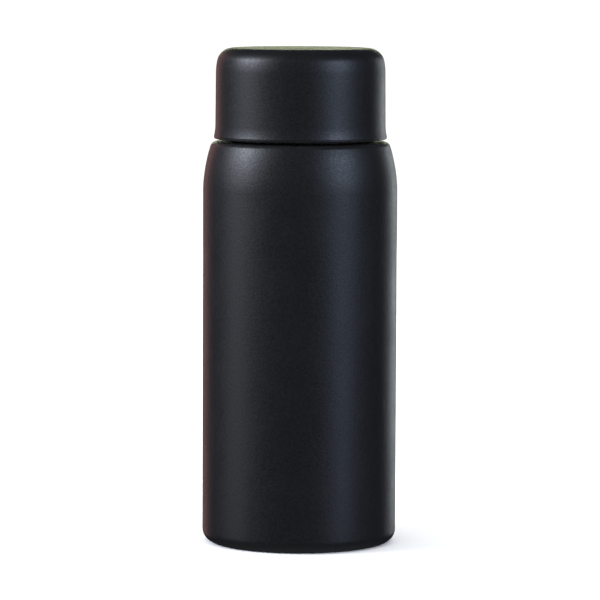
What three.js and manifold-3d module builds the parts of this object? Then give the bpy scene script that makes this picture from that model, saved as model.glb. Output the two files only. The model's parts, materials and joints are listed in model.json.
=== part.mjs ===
// A vacuum flask with a drinking cup for a cap and a push-button stopper, as an assembly of named solids.
// Millimetres, +Z up. The origin is the centre of the foot, so the flask stands on z = 0.
// Run it with the npm packages three and manifold-3d; the default export is a THREE.Group of meshes.
import * as THREE from "three";
import { mergeVertices } from "three/addons/utils/BufferGeometryUtils.js";
import Module from "manifold-3d";

const wasm = await Module();
wasm.setup();

// ---------------------------------------------------------------- driving sizes

// Steel body
const BODY_RADIUS = 33;
const BODY_HEIGHT = 136.6; // foot to the flat top of the shoulder
const BASE_CORNER = 4.2; // outer radius of the edge round the foot
const FOOT_WIDTH = 2.3; // flat ring that it stands on
const SHOULDER_RADIUS = 45; // long arc of the shoulder
const SHOULDER_FILLET = 2; // short arc between that and the flat top
const STEEL_WALL = 0.5;
const VACUUM_GAP = 3; // between the inner bottle and the casing
const NECK_HEIGHT = 13; // shoulder's flat top to the rim
const NECK_GAP = 0.5; // vacuum space between the two neck walls
const FLOOR_HEIGHT = 7; // underside of the inner bottle above the foot
const FLOOR_CORNER = 9; // outer radius at the inner bottle's floor
const INNER_SHOULDER_SLOPE = THREE.MathUtils.degToRad(60);
const INNER_SHOULDER_CONVEX = 2 / 3; // share of the inner shoulder's two arcs that bends outwards

// Base
const BASE_PLATE_RISE = 2.6; // how far the plate's middle stands above its rim
const BASE_PLATE_LAP = 2; // width of the plate's rim on the foot ring
const BASE_CONE_WIDTH = 3.9; // between the plate's rim and its middle
const PUMP_HOLE_RADIUS = 1.2;
const SOLDER_BEAD_RADIUS = 2.4;
const SOLDER_BEAD_FLATNESS = 0.5; // depth of the bead over its radius
const BASE_COVER_WALL = 0.4;
const BASE_COVER_RECESS = 0.2; // above the plane that the flask stands on

// Getter and foil
const GETTER_RADIUS = 5;
const GETTER_THICKNESS = 1.2;
const GETTER_CUP_WALL = 0.3;
const FOIL_THICKNESS = 0.2;
const FOIL_BOTTOM_MARGIN = 6; // above the curve of the inner bottle's floor
const FOIL_TOP_MARGIN = 15.7; // below the curve of its shoulder

// Quick threads: both have the same hand, lead and number of starts
const THREAD_STARTS = 3;
const THREAD_PITCH = 3.5; // from one start's ridge to the next
const THREAD_DEPTH = 1;
const THREAD_ROOT_WIDTH = 1.5;
const THREAD_CREST_WIDTH = 0.7;
const THREAD_SPAN = THREE.MathUtils.degToRad(190); // how far round each ridge runs
const THREAD_RUN_OUT = THREE.MathUtils.degToRad(20); // where its height fades at each end
const THREAD_FADE_BEYOND = THREE.MathUtils.degToRad(5); // the fade would reach nothing this far past the end
const THREAD_CLEARANCE = 0.3; // radial, crest to root

// Neck collar
const COLLAR_WALL = 1.5;
const COLLAR_DROP = 0.4; // its top below the rim
const COLLAR_CHAMFER = 0.375;

// Cup
const CUP_LIP_INSET = 3.66; // lip inside the body's side
const CUP_GAP = 0.9; // shadow gap between lip and shoulder
const SHOULDER_LEDGE = 0.76; // lip beyond the edge of the shoulder's flat top
const LIP_FLARE = 0.44;
const LIP_FLARE_HEIGHT = 3.7;
const LIP_EDGE = 0.5; // radius under the lip
const CUP_DRAFT = 0.16; // the side leans in by this much up to the top curve
const CUP_TOP_CURVE = 16.5; // long arc that starts the top edge
const CUP_TOP_LEAN = THREE.MathUtils.degToRad(14); // where it meets the corner
const CUP_CORNER = 5;
const CUP_CROWN = 0.3; // rise of the top's middle above its edge
const LINER_WALL = 1.55;
const LINER_TOP_WALL = 1.4;
const LINER_RECESS = 0.5; // liner's mouth above the lip
const LINER_CORNER = 5;
const CUP_FOAM_THICKNESS = 1;
const CUP_FOAM_RADIUS = 21.5;
const CUP_SEAL_HEIGHT = 1.4;
const CUP_SEAL_BITE = 0.55; // width of collar top that the seal covers
const CUP_SEAL_KEEP = 0.35; // how far it sits into the liner's groove
const CUP_HEADROOM = 4.8; // between button and liner

// Stopper
const STOPPER_DEPTH = 19.5; // below the rim
const STOPPER_SKIRT_WALL = 2.4;
const STOPPER_FLOOR = 1.8;
const POUR_BORE_RADIUS = 6.5;
const POUR_TUBE_WALL = 1.5;
const GRIP_INSET = 0.94; // grip inside the collar's outer wall
const GRIP_WALL = 1.5;
const FLANGE_LIFT = 0.9; // flange above the rim, where the seal shows
const FLANGE_PLATE = 1.2;
const SPOUT_HEIGHT = 3.2;
const SPOUT_WIDTH = 14;
const COVER_THICKNESS = 1.75;
const COVER_EDGE = 0.9; // radius round the cover's top
const COVER_PLUG_WALL = 1.2;
const COVER_PLUG_DEPTH = 1.6;
const FOAM_DROP = 8.58; // foam's top below the rim
const FOAM_CAP_THICKNESS = 2.25;
const TUBE_LAP = 0.75; // how far the pour tube stands into the foam cap
const POUR_CHAMBER_GAP = 2.5; // between the foam cap and the button well
const FLANGE_SEAL_WIDTH = 2.1;
const FLANGE_SEAL_HEIGHT = 1.5;
const LOWER_SEAL_HEIGHT = 2;
const LOWER_SEAL_DEPTH = 1.15;
const SEAT_STEP = 0.74; // seat inside the neck's threaded wall
const SEAT_TO_THREAD = 2.07; // seat's step below the lowest of the stopper's ridges
const NECK_LEAD_IN = 1; // plain wall between the rim and the neck thread

// Button and valve
const BUTTON_RADIUS = 9.15;
const BUTTON_PROUD = 2;
const BUTTON_TRAVEL = 3;
const BUTTON_WALL = 1.2;
const BUTTON_DISH = 0.5; // finger hollow in its top
const BUTTON_EDGE = 0.5; // radius round its top
const WELL_WALL = 1.2;
const WELL_FLOOR = 2.6;
const STEM_RADIUS = 2;
const STEM_SOCKET_DEPTH = 3.3;
const STEM_SEAL_WIRE = 0.6; // section radius of the O-ring
const BOSS_WALL = 1.15;
const SPRING_RADIUS = 4.8;
const SPRING_WIRE = 0.4; // radius of the wire
const SPRING_COILS = 4.5;
const STEPS_PER_COIL = 10;
const VALVE_LAP = 1.9; // how far the valve seal laps the bore's edge
const VALVE_SEAL_HEIGHT = 1.4;
const VALVE_HEAD_HEIGHT = 3.2;
const VALVE_HEAD_CHAMFER = 0.8;
const VALVE_SOCKET_DEPTH = 1.6; // how far the stem stands into the head's disc
const VALVE_SEAL_OVERHANG = 0.4;
const VALVE_HUB_WALL = 0.95;

// Clearances
const FIT = 0.25; // between pieces that rest on, or are pressed into, each other
const RUNNING = 0.25; // between pieces that slide or turn
const SWEEP = 0.14; // seal lip inside the thread that it is drawn out through
const ROOT_BITE = 0.15; // how deep a thread ridge is set into its wall

const SEGMENTS = 32; // facets round a revolved piece
const SMALL_SEGMENTS = 24; // facets round one that is only a few millimetres across

// ---------------------------------------------------------------- sizes that follow

const THREAD_LEAD = THREAD_STARTS * THREAD_PITCH;
const THREAD_RISE = (THREAD_LEAD * THREAD_SPAN) / (2 * Math.PI);
const HALF_PITCH = THREAD_PITCH / 2;

// Radii, from the outside in
const cupLipRadius = BODY_RADIUS - CUP_LIP_INSET;
const cupSideRadius = cupLipRadius - LIP_FLARE;
const cupUpperRadius = cupSideRadius - CUP_DRAFT;
const linerOuter = cupUpperRadius - STEEL_WALL - FIT;
const linerInner = linerOuter - LINER_WALL;
const cupThreadMinor = linerInner - THREAD_DEPTH;
const collarCrest = linerInner - THREAD_CLEARANCE;
const collarOuter = cupThreadMinor - THREAD_CLEARANCE;
const collarInner = collarOuter - COLLAR_WALL;
const neckOuter = collarInner - FIT;
const mouthRadius = neckOuter - 2 * STEEL_WALL - NECK_GAP;
const neckThreadMinor = mouthRadius - THREAD_DEPTH;
const stopperCrest = mouthRadius - THREAD_CLEARANCE;
const stopperRadius = neckThreadMinor - THREAD_CLEARANCE;
const stopperInner = stopperRadius - STOPPER_SKIRT_WALL;
const seatRadius = mouthRadius - SEAT_STEP;
const gripRadius = collarOuter - GRIP_INSET;
const gripInner = gripRadius - GRIP_WALL;
const tubeOuter = POUR_BORE_RADIUS + POUR_TUBE_WALL;
const shoulderFlatRadius = cupLipRadius - SHOULDER_LEDGE;
const footOuter = BODY_RADIUS - BASE_CORNER;
const footInner = footOuter - FOOT_WIDTH;
const bottleRadius = BODY_RADIUS - STEEL_WALL - VACUUM_GAP;

// Heights, from the rim of the neck
const rimZ = BODY_HEIGHT + NECK_HEIGHT;
const collarBottom = BODY_HEIGHT + FIT;
const collarTop = rimZ - COLLAR_DROP;
const stopperBottom = rimZ - STOPPER_DEPTH;
const flangeBottom = rimZ + FLANGE_LIFT;
const flangeSealBottom = rimZ + FIT;
const flangeSealTop = flangeSealBottom + FLANGE_SEAL_HEIGHT;
const chamberLedge = flangeSealTop + FIT + FLANGE_PLATE;
const gripTop = chamberLedge + SPOUT_HEIGHT;
const coverBottom = gripTop + FIT;
const coverTop = coverBottom + COVER_THICKNESS;
const buttonTop = coverTop + BUTTON_PROUD;
const seatBottom = stopperBottom + STOPPER_FLOOR - FIT;

// Middles of each thread's lowest end: the ridges of the piece that screws in or on run half a pitch lower
const neckThreadZ = rimZ - NECK_LEAD_IN - THREAD_ROOT_WIDTH - THREAD_RISE;
const stopperThreadZ = neckThreadZ - HALF_PITCH;
const collarThreadZ = collarTop - THREAD_ROOT_WIDTH - THREAD_RISE;
const cupThreadZ = collarThreadZ - HALF_PITCH;
const seatTop = stopperThreadZ - THREAD_ROOT_WIDTH / 2 - SEAT_TO_THREAD;

// Cup heights: it has to cover the neck, the stopper and the button
const lipZ = BODY_HEIGHT + CUP_GAP;
const linerCeiling = buttonTop + CUP_HEADROOM;
const linerTop = linerCeiling + LINER_TOP_WALL;
const cupEdgeZ = linerTop + 2 * FIT + CUP_FOAM_THICKNESS + STEEL_WALL;
const cupTopZ = cupEdgeZ + CUP_CROWN;

// ---------------------------------------------------------------- geometry helpers

const point = (radius, z) => new THREE.Vector2(radius, z);

/** Points along a circle's arc in the radius-height plane, its two ends included. */
function arc(centreRadius, centreZ, radius, from, to, steps) {
  return Array.from({ length: steps + 1 }, (_, i) => {
    const angle = from + ((to - from) * i) / steps;
    return point(centreRadius + radius * Math.cos(angle), centreZ + radius * Math.sin(angle));
  });
}

const QUARTER = Math.PI / 2;

/** Twice the signed area that a closed outline encloses in the radius-height plane. */
const windingOf = (outline) =>
  outline.reduce((sum, a, i) => {
    const b = outline[(i + 1) % outline.length];
    return sum + a.x * b.y - b.x * a.y;
  }, 0);

/** A solid of revolution about Z from a closed outline, listed in either direction. */
function revolve(outline, segments = SEGMENTS) {
  const onAxis = outline[0].x === 0 && outline.at(-1).x === 0;
  const ordered = windingOf(outline) > 0 ? outline : outline.slice().reverse();
  const profile = onAxis ? ordered : [...ordered, ordered[0]];
  return new THREE.LatheGeometry(profile, segments).rotateX(QUARTER);
}

/** A ring of rectangular section. */
const ring = (inner, outer, bottom, top) =>
  revolve([point(inner, bottom), point(outer, bottom), point(outer, top), point(inner, top)]);

/** A plain disc. */
const disc = (radius, bottom, top) =>
  revolve([point(0, bottom), point(radius, bottom), point(radius, top), point(0, top)]);

/** A geometry as a solid that can be joined and cut. */
function solid(geometry) {
  const bare = geometry.clone();
  bare.deleteAttribute("normal");
  bare.deleteAttribute("uv");
  const merged = mergeVertices(bare, 1e-4);
  const mesh = new wasm.Mesh({
    numProp: 3,
    vertProperties: merged.attributes.position.array,
    triVerts: new Uint32Array(merged.index.array),
  });
  return new wasm.Manifold(mesh);
}

/** The solid's surface as a geometry. */
function surface(manifold) {
  const mesh = manifold.getMesh();
  const geometry = new THREE.BufferGeometry();
  geometry.setAttribute("position", new THREE.BufferAttribute(mesh.vertProperties, 3));
  geometry.setIndex(new THREE.BufferAttribute(mesh.triVerts, 1));
  geometry.computeVertexNormals();
  return geometry;
}

const joined = (first, ...others) =>
  surface(others.reduce((whole, geometry) => whole.add(solid(geometry)), solid(first)));
const cut = (first, ...others) =>
  surface(others.reduce((whole, geometry) => whole.subtract(solid(geometry)), solid(first)));

/**
 * One thread ridge: a straight bar of trapezoid section, bent round the axis and raised along the helix.
 * It stands from the wall at rootRadius to crestRadius. Its low end is at startAngle, its middle there at z.
 */
function ridge(rootRadius, crestRadius, startAngle, z) {
  const outwards = Math.sign(crestRadius - rootRadius);
  const base = rootRadius - outwards * ROOT_BITE;
  const section = new THREE.Shape([
    point(base, -THREAD_ROOT_WIDTH / 2),
    point(crestRadius, -THREAD_CREST_WIDTH / 2),
    point(crestRadius, THREAD_CREST_WIDTH / 2),
    point(base, THREAD_ROOT_WIDTH / 2),
  ]);
  const steps = Math.ceil((SEGMENTS * THREAD_SPAN) / (2 * Math.PI));
  const bar = new THREE.ExtrudeGeometry(section, { depth: 1, steps, bevelEnabled: false });
  const places = bar.getAttribute("position");
  for (let i = 0; i < places.count; i++) {
    const along = (1 - places.getZ(i)) * THREAD_SPAN;
    const toEnd = Math.min(along, THREAD_SPAN - along);
    const height = THREE.MathUtils.smoothstep(toEnd, -THREAD_FADE_BEYOND, THREAD_RUN_OUT);
    const radius = base + (places.getX(i) - base) * height;
    const angle = startAngle + along;
    const rise = (THREAD_LEAD * along) / (2 * Math.PI);
    places.setXYZ(i, radius * Math.cos(angle), radius * Math.sin(angle), z + places.getY(i) + rise);
  }
  return bar;
}

/** The ridges of one quick thread, a start to each. */
const thread = (rootRadius, crestRadius, z) =>
  Array.from({ length: THREAD_STARTS }, (_, start) =>
    ridge(rootRadius, crestRadius, (start * 2 * Math.PI) / THREAD_STARTS, z),
  );

// ---------------------------------------------------------------- steel body

/** Centres and turn of the shoulder's two tangent arcs. */
function shoulder() {
  const reach = SHOULDER_RADIUS - SHOULDER_FILLET;
  const filletZ = BODY_HEIGHT - SHOULDER_FILLET;
  const arcCentre = BODY_RADIUS - SHOULDER_RADIUS;
  const turn = Math.acos((shoulderFlatRadius - arcCentre) / reach);
  return { filletZ, arcCentre, turn, arcZ: filletZ - reach * Math.sin(turn) };
}

/** One face of the casing, set in by inset, from the foot's inner edge to the top of the neck tube. */
function casingFace(inset) {
  const { filletZ, arcCentre, turn, arcZ } = shoulder();
  return [
    point(footInner, inset),
    ...arc(footOuter, BASE_CORNER, BASE_CORNER - inset, -QUARTER, 0, 4),
    ...arc(arcCentre, arcZ, SHOULDER_RADIUS - inset, 0, turn, 4),
    ...arc(shoulderFlatRadius, filletZ, SHOULDER_FILLET - inset, turn, QUARTER, 3).slice(1),
    point(neckOuter - inset, BODY_HEIGHT - inset),
    point(neckOuter - inset, rimZ - STEEL_WALL - FIT),
  ];
}

const outerShell = () => revolve([...casingFace(0), ...casingFace(STEEL_WALL).reverse()]);

/** Radii of the inner bottle's two shoulder arcs, and the height that they start from. */
function bottleShoulder() {
  const bothRadii = (bottleRadius - seatRadius - STEEL_WALL) / (1 - Math.cos(INNER_SHOULDER_SLOPE));
  const convex = bothRadii * INNER_SHOULDER_CONVEX;
  const shoulderZ = seatBottom - bothRadii * Math.sin(INNER_SHOULDER_SLOPE);
  return { convex, concave: bothRadii - convex, shoulderZ };
}

/** One face of the inner bottle, set in by inset, from the middle of its floor to the neck. */
function bottleFace(inset) {
  const neck = mouthRadius + STEEL_WALL;
  const seat = seatRadius + STEEL_WALL;
  const turn = INNER_SHOULDER_SLOPE;
  const { convex, concave, shoulderZ } = bottleShoulder();
  const floorRadius = bottleRadius - FLOOR_CORNER;
  const concaveCentre = seat + concave;
  return [
    point(0, FLOOR_HEIGHT + inset),
    ...arc(floorRadius, FLOOR_HEIGHT + FLOOR_CORNER, FLOOR_CORNER - inset, -QUARTER, 0, 4),
    ...arc(bottleRadius - convex, shoulderZ, convex - inset, 0, turn, 3),
    ...arc(concaveCentre, seatBottom, concave + inset, Math.PI + turn, Math.PI, 2),
    point(seat - inset, seatTop - SEAT_STEP),
    point(neck - inset, seatTop),
  ];
}

function innerBottle() {
  const neck = mouthRadius + STEEL_WALL;
  const lipBottom = rimZ - STEEL_WALL;
  const vessel = revolve([
    ...bottleFace(0),
    point(neck, lipBottom),
    point(neckOuter, lipBottom),
    point(neckOuter, rimZ),
    point(mouthRadius, rimZ),
    ...bottleFace(STEEL_WALL).reverse(),
  ]);
  return joined(vessel, ...thread(mouthRadius, neckThreadMinor, neckThreadZ));
}

function copperFoil() {
  const inner = bottleRadius + FIT;
  const bottom = FLOOR_HEIGHT + FLOOR_CORNER + FOIL_BOTTOM_MARGIN;
  const top = bottleShoulder().shoulderZ - FOIL_TOP_MARGIN;
  return ring(inner, inner + FOIL_THICKNESS, bottom, top);
}

// ---------------------------------------------------------------- base

const plateRimZ = STEEL_WALL + FIT;
const plateTopZ = plateRimZ + BASE_PLATE_RISE;

function basePlate() {
  const rimOuter = footInner + BASE_PLATE_LAP;
  const face = (lift) => [
    point(rimOuter, plateRimZ + lift),
    point(footInner, plateRimZ + lift),
    point(footInner - BASE_CONE_WIDTH, plateTopZ + lift),
    point(PUMP_HOLE_RADIUS, plateTopZ + lift),
  ];
  return revolve([...face(0), ...face(STEEL_WALL).reverse()]);
}

/** The bead hangs under the plate and fills the pumping hole. */
function solderPlug() {
  const stem = PUMP_HOLE_RADIUS - FIT;
  const top = plateTopZ - FIT;
  const bead = arc(0, 0, SOLDER_BEAD_RADIUS, -QUARTER, 0, 3).slice(1);
  return revolve(
    [
      point(0, top - SOLDER_BEAD_RADIUS * SOLDER_BEAD_FLATNESS),
      ...bead.map((p) => point(p.x, top + p.y * SOLDER_BEAD_FLATNESS)),
      point(stem, top),
      point(stem, plateTopZ + STEEL_WALL),
      point(0, plateTopZ + STEEL_WALL),
    ],
    SMALL_SEGMENTS,
  );
}

const baseCover = () => disc(footInner - FIT, BASE_COVER_RECESS, BASE_COVER_RECESS + BASE_COVER_WALL);

const getterTop = FLOOR_HEIGHT - FIT;

function getterCup() {
  const outer = GETTER_RADIUS + FIT + GETTER_CUP_WALL;
  const bottom = getterTop - GETTER_THICKNESS - FIT - GETTER_CUP_WALL;
  return revolve(
    [
      point(0, getterTop),
      point(outer, getterTop),
      point(outer, bottom),
      point(GETTER_RADIUS + FIT, bottom),
      point(GETTER_RADIUS + FIT, getterTop - GETTER_CUP_WALL),
      point(0, getterTop - GETTER_CUP_WALL),
    ],
    SMALL_SEGMENTS,
  );
}

function getterPellet() {
  const top = getterTop - GETTER_CUP_WALL - FIT;
  const profile = [
    point(0, top - GETTER_THICKNESS),
    point(GETTER_RADIUS, top - GETTER_THICKNESS),
    point(GETTER_RADIUS, top),
    point(0, top),
  ];
  return revolve(profile, SMALL_SEGMENTS);
}

// ---------------------------------------------------------------- neck collar

function neckCollar() {
  const sleeve = revolve([
    point(collarInner, collarBottom),
    point(collarOuter, collarBottom),
    point(collarOuter, collarTop - COLLAR_CHAMFER),
    point(collarOuter - COLLAR_CHAMFER, collarTop),
    point(collarInner, collarTop),
  ]);
  return joined(sleeve, ...thread(collarOuter, collarCrest, collarThreadZ));
}

// ---------------------------------------------------------------- cup

/** One face of the cup's shell, set in by inset, from above the lip to the middle of its top. */
function cupFace(inset) {
  const flareRadius = (LIP_FLARE_HEIGHT ** 2 + LIP_FLARE ** 2) / (2 * LIP_FLARE);
  const flareTurn = Math.asin(LIP_FLARE_HEIGHT / flareRadius);
  const flareZ = lipZ + 2 * LIP_EDGE + LIP_FLARE_HEIGHT;
  const flareCentre = cupSideRadius + flareRadius;
  const curveRise = (CUP_TOP_CURVE - CUP_CORNER) * Math.sin(CUP_TOP_LEAN);
  const curveZ = cupEdgeZ - CUP_CORNER - curveRise;
  const cornerRadius =
    cupUpperRadius - CUP_TOP_CURVE * (1 - Math.cos(CUP_TOP_LEAN)) - CUP_CORNER * Math.cos(CUP_TOP_LEAN);
  const flare = arc(flareCentre, flareZ, flareRadius + inset, Math.PI + flareTurn, Math.PI, 2);
  return [
    ...flare,
    ...arc(cupUpperRadius - CUP_TOP_CURVE, curveZ, CUP_TOP_CURVE - inset, 0, CUP_TOP_LEAN, 2),
    ...arc(cornerRadius, cupEdgeZ - CUP_CORNER, CUP_CORNER - inset, CUP_TOP_LEAN, QUARTER, 4).slice(1),
    point(0, cupTopZ - inset),
  ];
}

/** The wall's lower edge is rolled to a rounded lip. */
function cupShell() {
  const [outerEdge] = cupFace(0);
  const lip = arc(outerEdge.x - LIP_EDGE, lipZ + LIP_EDGE, LIP_EDGE, 0, -Math.PI, 4);
  return revolve([...cupFace(STEEL_WALL).reverse(), ...lip.reverse(), ...cupFace(0)]);
}

const cupSealBottom = collarTop + FIT;
const cupSealTop = cupSealBottom + CUP_SEAL_HEIGHT;
const cupSealInner = collarOuter - CUP_SEAL_BITE;
const cupSealOuter = linerInner + CUP_SEAL_KEEP;

function cupLiner() {
  const mouthZ = lipZ + LINER_RECESS;
  const innerCorner = LINER_CORNER - LINER_WALL;
  const grooveRadius = cupSealOuter + FIT;
  const body = revolve([
    point(0, linerTop),
    ...arc(linerOuter - LINER_CORNER, linerTop - LINER_CORNER, LINER_CORNER, QUARTER, 0, 3),
    point(linerOuter, mouthZ),
    point(linerInner, mouthZ),
    point(linerInner, cupSealBottom - FIT),
    point(grooveRadius, cupSealBottom - FIT),
    point(grooveRadius, cupSealTop + FIT),
    point(linerInner, cupSealTop + FIT),
    ...arc(linerInner - innerCorner, linerCeiling - innerCorner, innerCorner, 0, QUARTER, 3),
    point(0, linerCeiling),
  ]);
  return joined(body, ...thread(linerInner, cupThreadMinor, cupThreadZ));
}

const cupFoamDisc = () => disc(CUP_FOAM_RADIUS, linerTop + FIT, linerTop + FIT + CUP_FOAM_THICKNESS);

const cupSealRing = () => ring(cupSealInner, cupSealOuter, cupSealBottom, cupSealTop);

// ---------------------------------------------------------------- stopper

const foamTop = rimZ - FOAM_DROP;
const foamCapBottom = foamTop + FIT;
const foamCapTop = foamCapBottom + FOAM_CAP_THICKNESS;
const tubeTop = foamCapBottom + TUBE_LAP;
const wellBottom = foamCapTop + POUR_CHAMBER_GAP;
const wellFloorTop = wellBottom + WELL_FLOOR;
const wellInner = BUTTON_RADIUS + RUNNING;
const lowerSealBottom = stopperBottom + STOPPER_FLOOR;
const lowerSealTop = lowerSealBottom + LOWER_SEAL_HEIGHT;
const lowerSealOuter = neckThreadMinor - SWEEP;
const lowerSealInner = lowerSealOuter - LOWER_SEAL_DEPTH;
const flangeSealInner = (mouthRadius + neckOuter - FLANGE_SEAL_WIDTH) / 2;
const flangeSealOuter = flangeSealInner + FLANGE_SEAL_WIDTH;

/** The window that the drink leaves by, on the side away from +Y. */
function spoutWindow(top) {
  const depth = gripRadius;
  const height = top - chamberLedge;
  const middle = new THREE.Vector3(0, -gripRadius, chamberLedge + height / 2);
  return new THREE.BoxGeometry(SPOUT_WIDTH, depth, height).translate(...middle);
}

function stopperBody() {
  const grooveInner = lowerSealInner - FIT;
  const cavityTop = flangeSealTop + FIT;
  const moulding = revolve([
    point(POUR_BORE_RADIUS, stopperBottom),
    point(stopperRadius, stopperBottom),
    point(stopperRadius, lowerSealBottom - FIT),
    point(grooveInner, lowerSealBottom - FIT),
    point(grooveInner, lowerSealTop + FIT),
    point(stopperRadius, lowerSealTop + FIT),
    point(stopperRadius, cavityTop - FLANGE_PLATE),
    point(flangeSealInner - FIT, cavityTop - FLANGE_PLATE),
    point(flangeSealInner - FIT, cavityTop),
    point(flangeSealOuter + FIT, cavityTop),
    point(flangeSealOuter + FIT, flangeBottom),
    point(gripRadius, flangeBottom),
    point(gripRadius, gripTop),
    point(gripInner, gripTop),
    point(gripInner, chamberLedge),
    point(stopperInner, chamberLedge),
    point(stopperInner, stopperBottom + STOPPER_FLOOR),
    point(tubeOuter, stopperBottom + STOPPER_FLOOR),
    point(tubeOuter, tubeTop),
    point(POUR_BORE_RADIUS, tubeTop),
  ]);
  const ridges = thread(stopperRadius, stopperCrest, stopperThreadZ);
  const threaded = joined(moulding, ...ridges);
  return cut(threaded, spoutWindow(gripTop + FIT));
}

const stopperFoam = () =>
  ring(tubeOuter + FIT, stopperInner - FIT, stopperBottom + STOPPER_FLOOR + FIT, foamTop);

/** A lid on the insulation, stepped to sit over the end of the pour tube. */
function foamCap() {
  return revolve([
    point(POUR_BORE_RADIUS, tubeTop + FIT),
    point(POUR_BORE_RADIUS, foamCapTop),
    point(stopperInner - FIT, foamCapTop),
    point(stopperInner - FIT, foamCapBottom),
    point(tubeOuter + FIT, foamCapBottom),
    point(tubeOuter + FIT, tubeTop + FIT),
  ]);
}

const sealTrackRadius = STEM_RADIUS + FIT + STEM_SEAL_WIRE;
const sealTrackZ = wellBottom + WELL_FLOOR / 2;

/** Cover, locating plug and button well in one moulding, with a gland for the stem's O-ring. */
function stopperCover() {
  const plugOuter = gripInner - FIT;
  const wellOuter = wellInner + WELL_WALL;
  const glandRadius = sealTrackRadius + STEM_SEAL_WIRE + FIT;
  const gland = STEM_SEAL_WIRE + FIT;
  const bore = STEM_RADIUS + RUNNING;
  const cover = revolve([
    point(bore, wellBottom),
    point(wellOuter, wellBottom),
    point(wellOuter, coverBottom),
    point(plugOuter - COVER_PLUG_WALL, coverBottom),
    point(plugOuter - COVER_PLUG_WALL, coverBottom - COVER_PLUG_DEPTH),
    point(plugOuter, coverBottom - COVER_PLUG_DEPTH),
    point(plugOuter, coverBottom),
    point(gripRadius, coverBottom),
    ...arc(gripRadius - COVER_EDGE, coverTop - COVER_EDGE, COVER_EDGE, 0, QUARTER, 2),
    point(wellInner, coverTop),
    point(wellInner, wellFloorTop),
    point(bore, wellFloorTop),
    point(bore, sealTrackZ + gland),
    point(glandRadius, sealTrackZ + gland),
    point(glandRadius, sealTrackZ - gland),
    point(bore, sealTrackZ - gland),
  ]);
  return cut(cover, spoutWindow(coverBottom));
}

const stopperFlangeSeal = () =>
  ring(flangeSealInner, flangeSealOuter, flangeSealBottom, flangeSealTop);

/** Flat inside, with a rounded lip where it meets the seat. */
function stopperLowerSeal() {
  const middle = (lowerSealBottom + lowerSealTop) / 2;
  const round = LOWER_SEAL_HEIGHT / 2;
  return revolve([
    point(lowerSealInner, lowerSealTop),
    point(lowerSealInner, lowerSealBottom),
    ...arc(lowerSealOuter - round, middle, round, -QUARTER, QUARTER, 3),
  ]);
}

const stemSeal = () =>
  revolve(arc(sealTrackRadius, sealTrackZ, STEM_SEAL_WIRE, 0, 2 * Math.PI, 6).slice(0, -1), SMALL_SEGMENTS);

// ---------------------------------------------------------------- button and valve

const buttonCeiling = buttonTop - BUTTON_DISH - BUTTON_WALL;
const buttonBottom = wellFloorTop + BUTTON_TRAVEL + FIT;
const stemTop = buttonCeiling - FIT;
const bossBottom = stemTop - STEM_SOCKET_DEPTH;
const valveSealTop = stopperBottom - FIT;
const valveSealBottom = valveSealTop - VALVE_SEAL_HEIGHT;
const valveHeadTop = valveSealBottom - FIT;
const valveHeadBottom = valveHeadTop - VALVE_HEAD_HEIGHT;
const socketRadius = STEM_RADIUS + FIT;
const valveSealOuter = POUR_BORE_RADIUS + VALVE_LAP;
const valveHubRadius = socketRadius + VALVE_HUB_WALL;
const stemBottom = valveHeadTop - VALVE_SOCKET_DEPTH;

function pushButton() {
  return revolve([
    point(0, buttonTop - BUTTON_DISH),
    point(BUTTON_RADIUS / 2, buttonTop - BUTTON_DISH / 2),
    point(BUTTON_RADIUS - 2 * BUTTON_EDGE, buttonTop),
    ...arc(BUTTON_RADIUS - BUTTON_EDGE, buttonTop - BUTTON_EDGE, BUTTON_EDGE, QUARTER, 0, 2),
    point(BUTTON_RADIUS, buttonBottom),
    point(BUTTON_RADIUS - BUTTON_WALL, buttonBottom),
    point(BUTTON_RADIUS - BUTTON_WALL, buttonCeiling),
    point(socketRadius + BOSS_WALL, buttonCeiling),
    point(socketRadius + BOSS_WALL, bossBottom),
    point(socketRadius, bossBottom),
    point(socketRadius, buttonCeiling),
    point(0, buttonCeiling),
  ], SMALL_SEGMENTS);
}

/** A helix about Z. */
class Helix extends THREE.Curve {
  constructor(radius, bottom, top, turns) {
    super();
    Object.assign(this, { radius, bottom, top, turns });
  }

  getPoint(t, target = new THREE.Vector3()) {
    const angle = 2 * Math.PI * this.turns * t;
    const z = this.bottom + (this.top - this.bottom) * t;
    return target.set(this.radius * Math.cos(angle), this.radius * Math.sin(angle), z);
  }
}

function buttonSpring() {
  const bottom = wellFloorTop + FIT + SPRING_WIRE;
  const top = buttonCeiling - FIT - SPRING_WIRE;
  const path = new Helix(SPRING_RADIUS, bottom, top, SPRING_COILS);
  const wire = new THREE.Shape().absarc(0, 0, SPRING_WIRE, 0, 2 * Math.PI);
  const steps = Math.round(SPRING_COILS * STEPS_PER_COIL);
  return new THREE.ExtrudeGeometry(wire, { steps, extrudePath: path, curveSegments: 3 });
}

const valveStem = () => {
  const side = [point(STEM_RADIUS, stemBottom), point(STEM_RADIUS, stemTop)];
  return revolve([point(0, stemBottom), ...side, point(0, stemTop)], SMALL_SEGMENTS);
};

/** A disc with a hub that the seal washer fits round, and a socket for the stem. */
function valveHead() {
  const outer = valveSealOuter - VALVE_SEAL_OVERHANG;
  return revolve([
    point(0, valveHeadBottom),
    point(outer - VALVE_HEAD_CHAMFER, valveHeadBottom),
    point(outer, valveHeadBottom + VALVE_HEAD_CHAMFER),
    point(outer, valveHeadTop),
    point(valveHubRadius, valveHeadTop),
    point(valveHubRadius, valveSealTop),
    point(socketRadius, valveSealTop),
    point(socketRadius, stemBottom - FIT),
    point(0, stemBottom - FIT),
  ], SMALL_SEGMENTS);
}

const valveSeal = () =>
  ring(valveHubRadius + FIT, valveSealOuter, valveSealBottom, valveSealTop);

// ---------------------------------------------------------------- assembly

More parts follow.
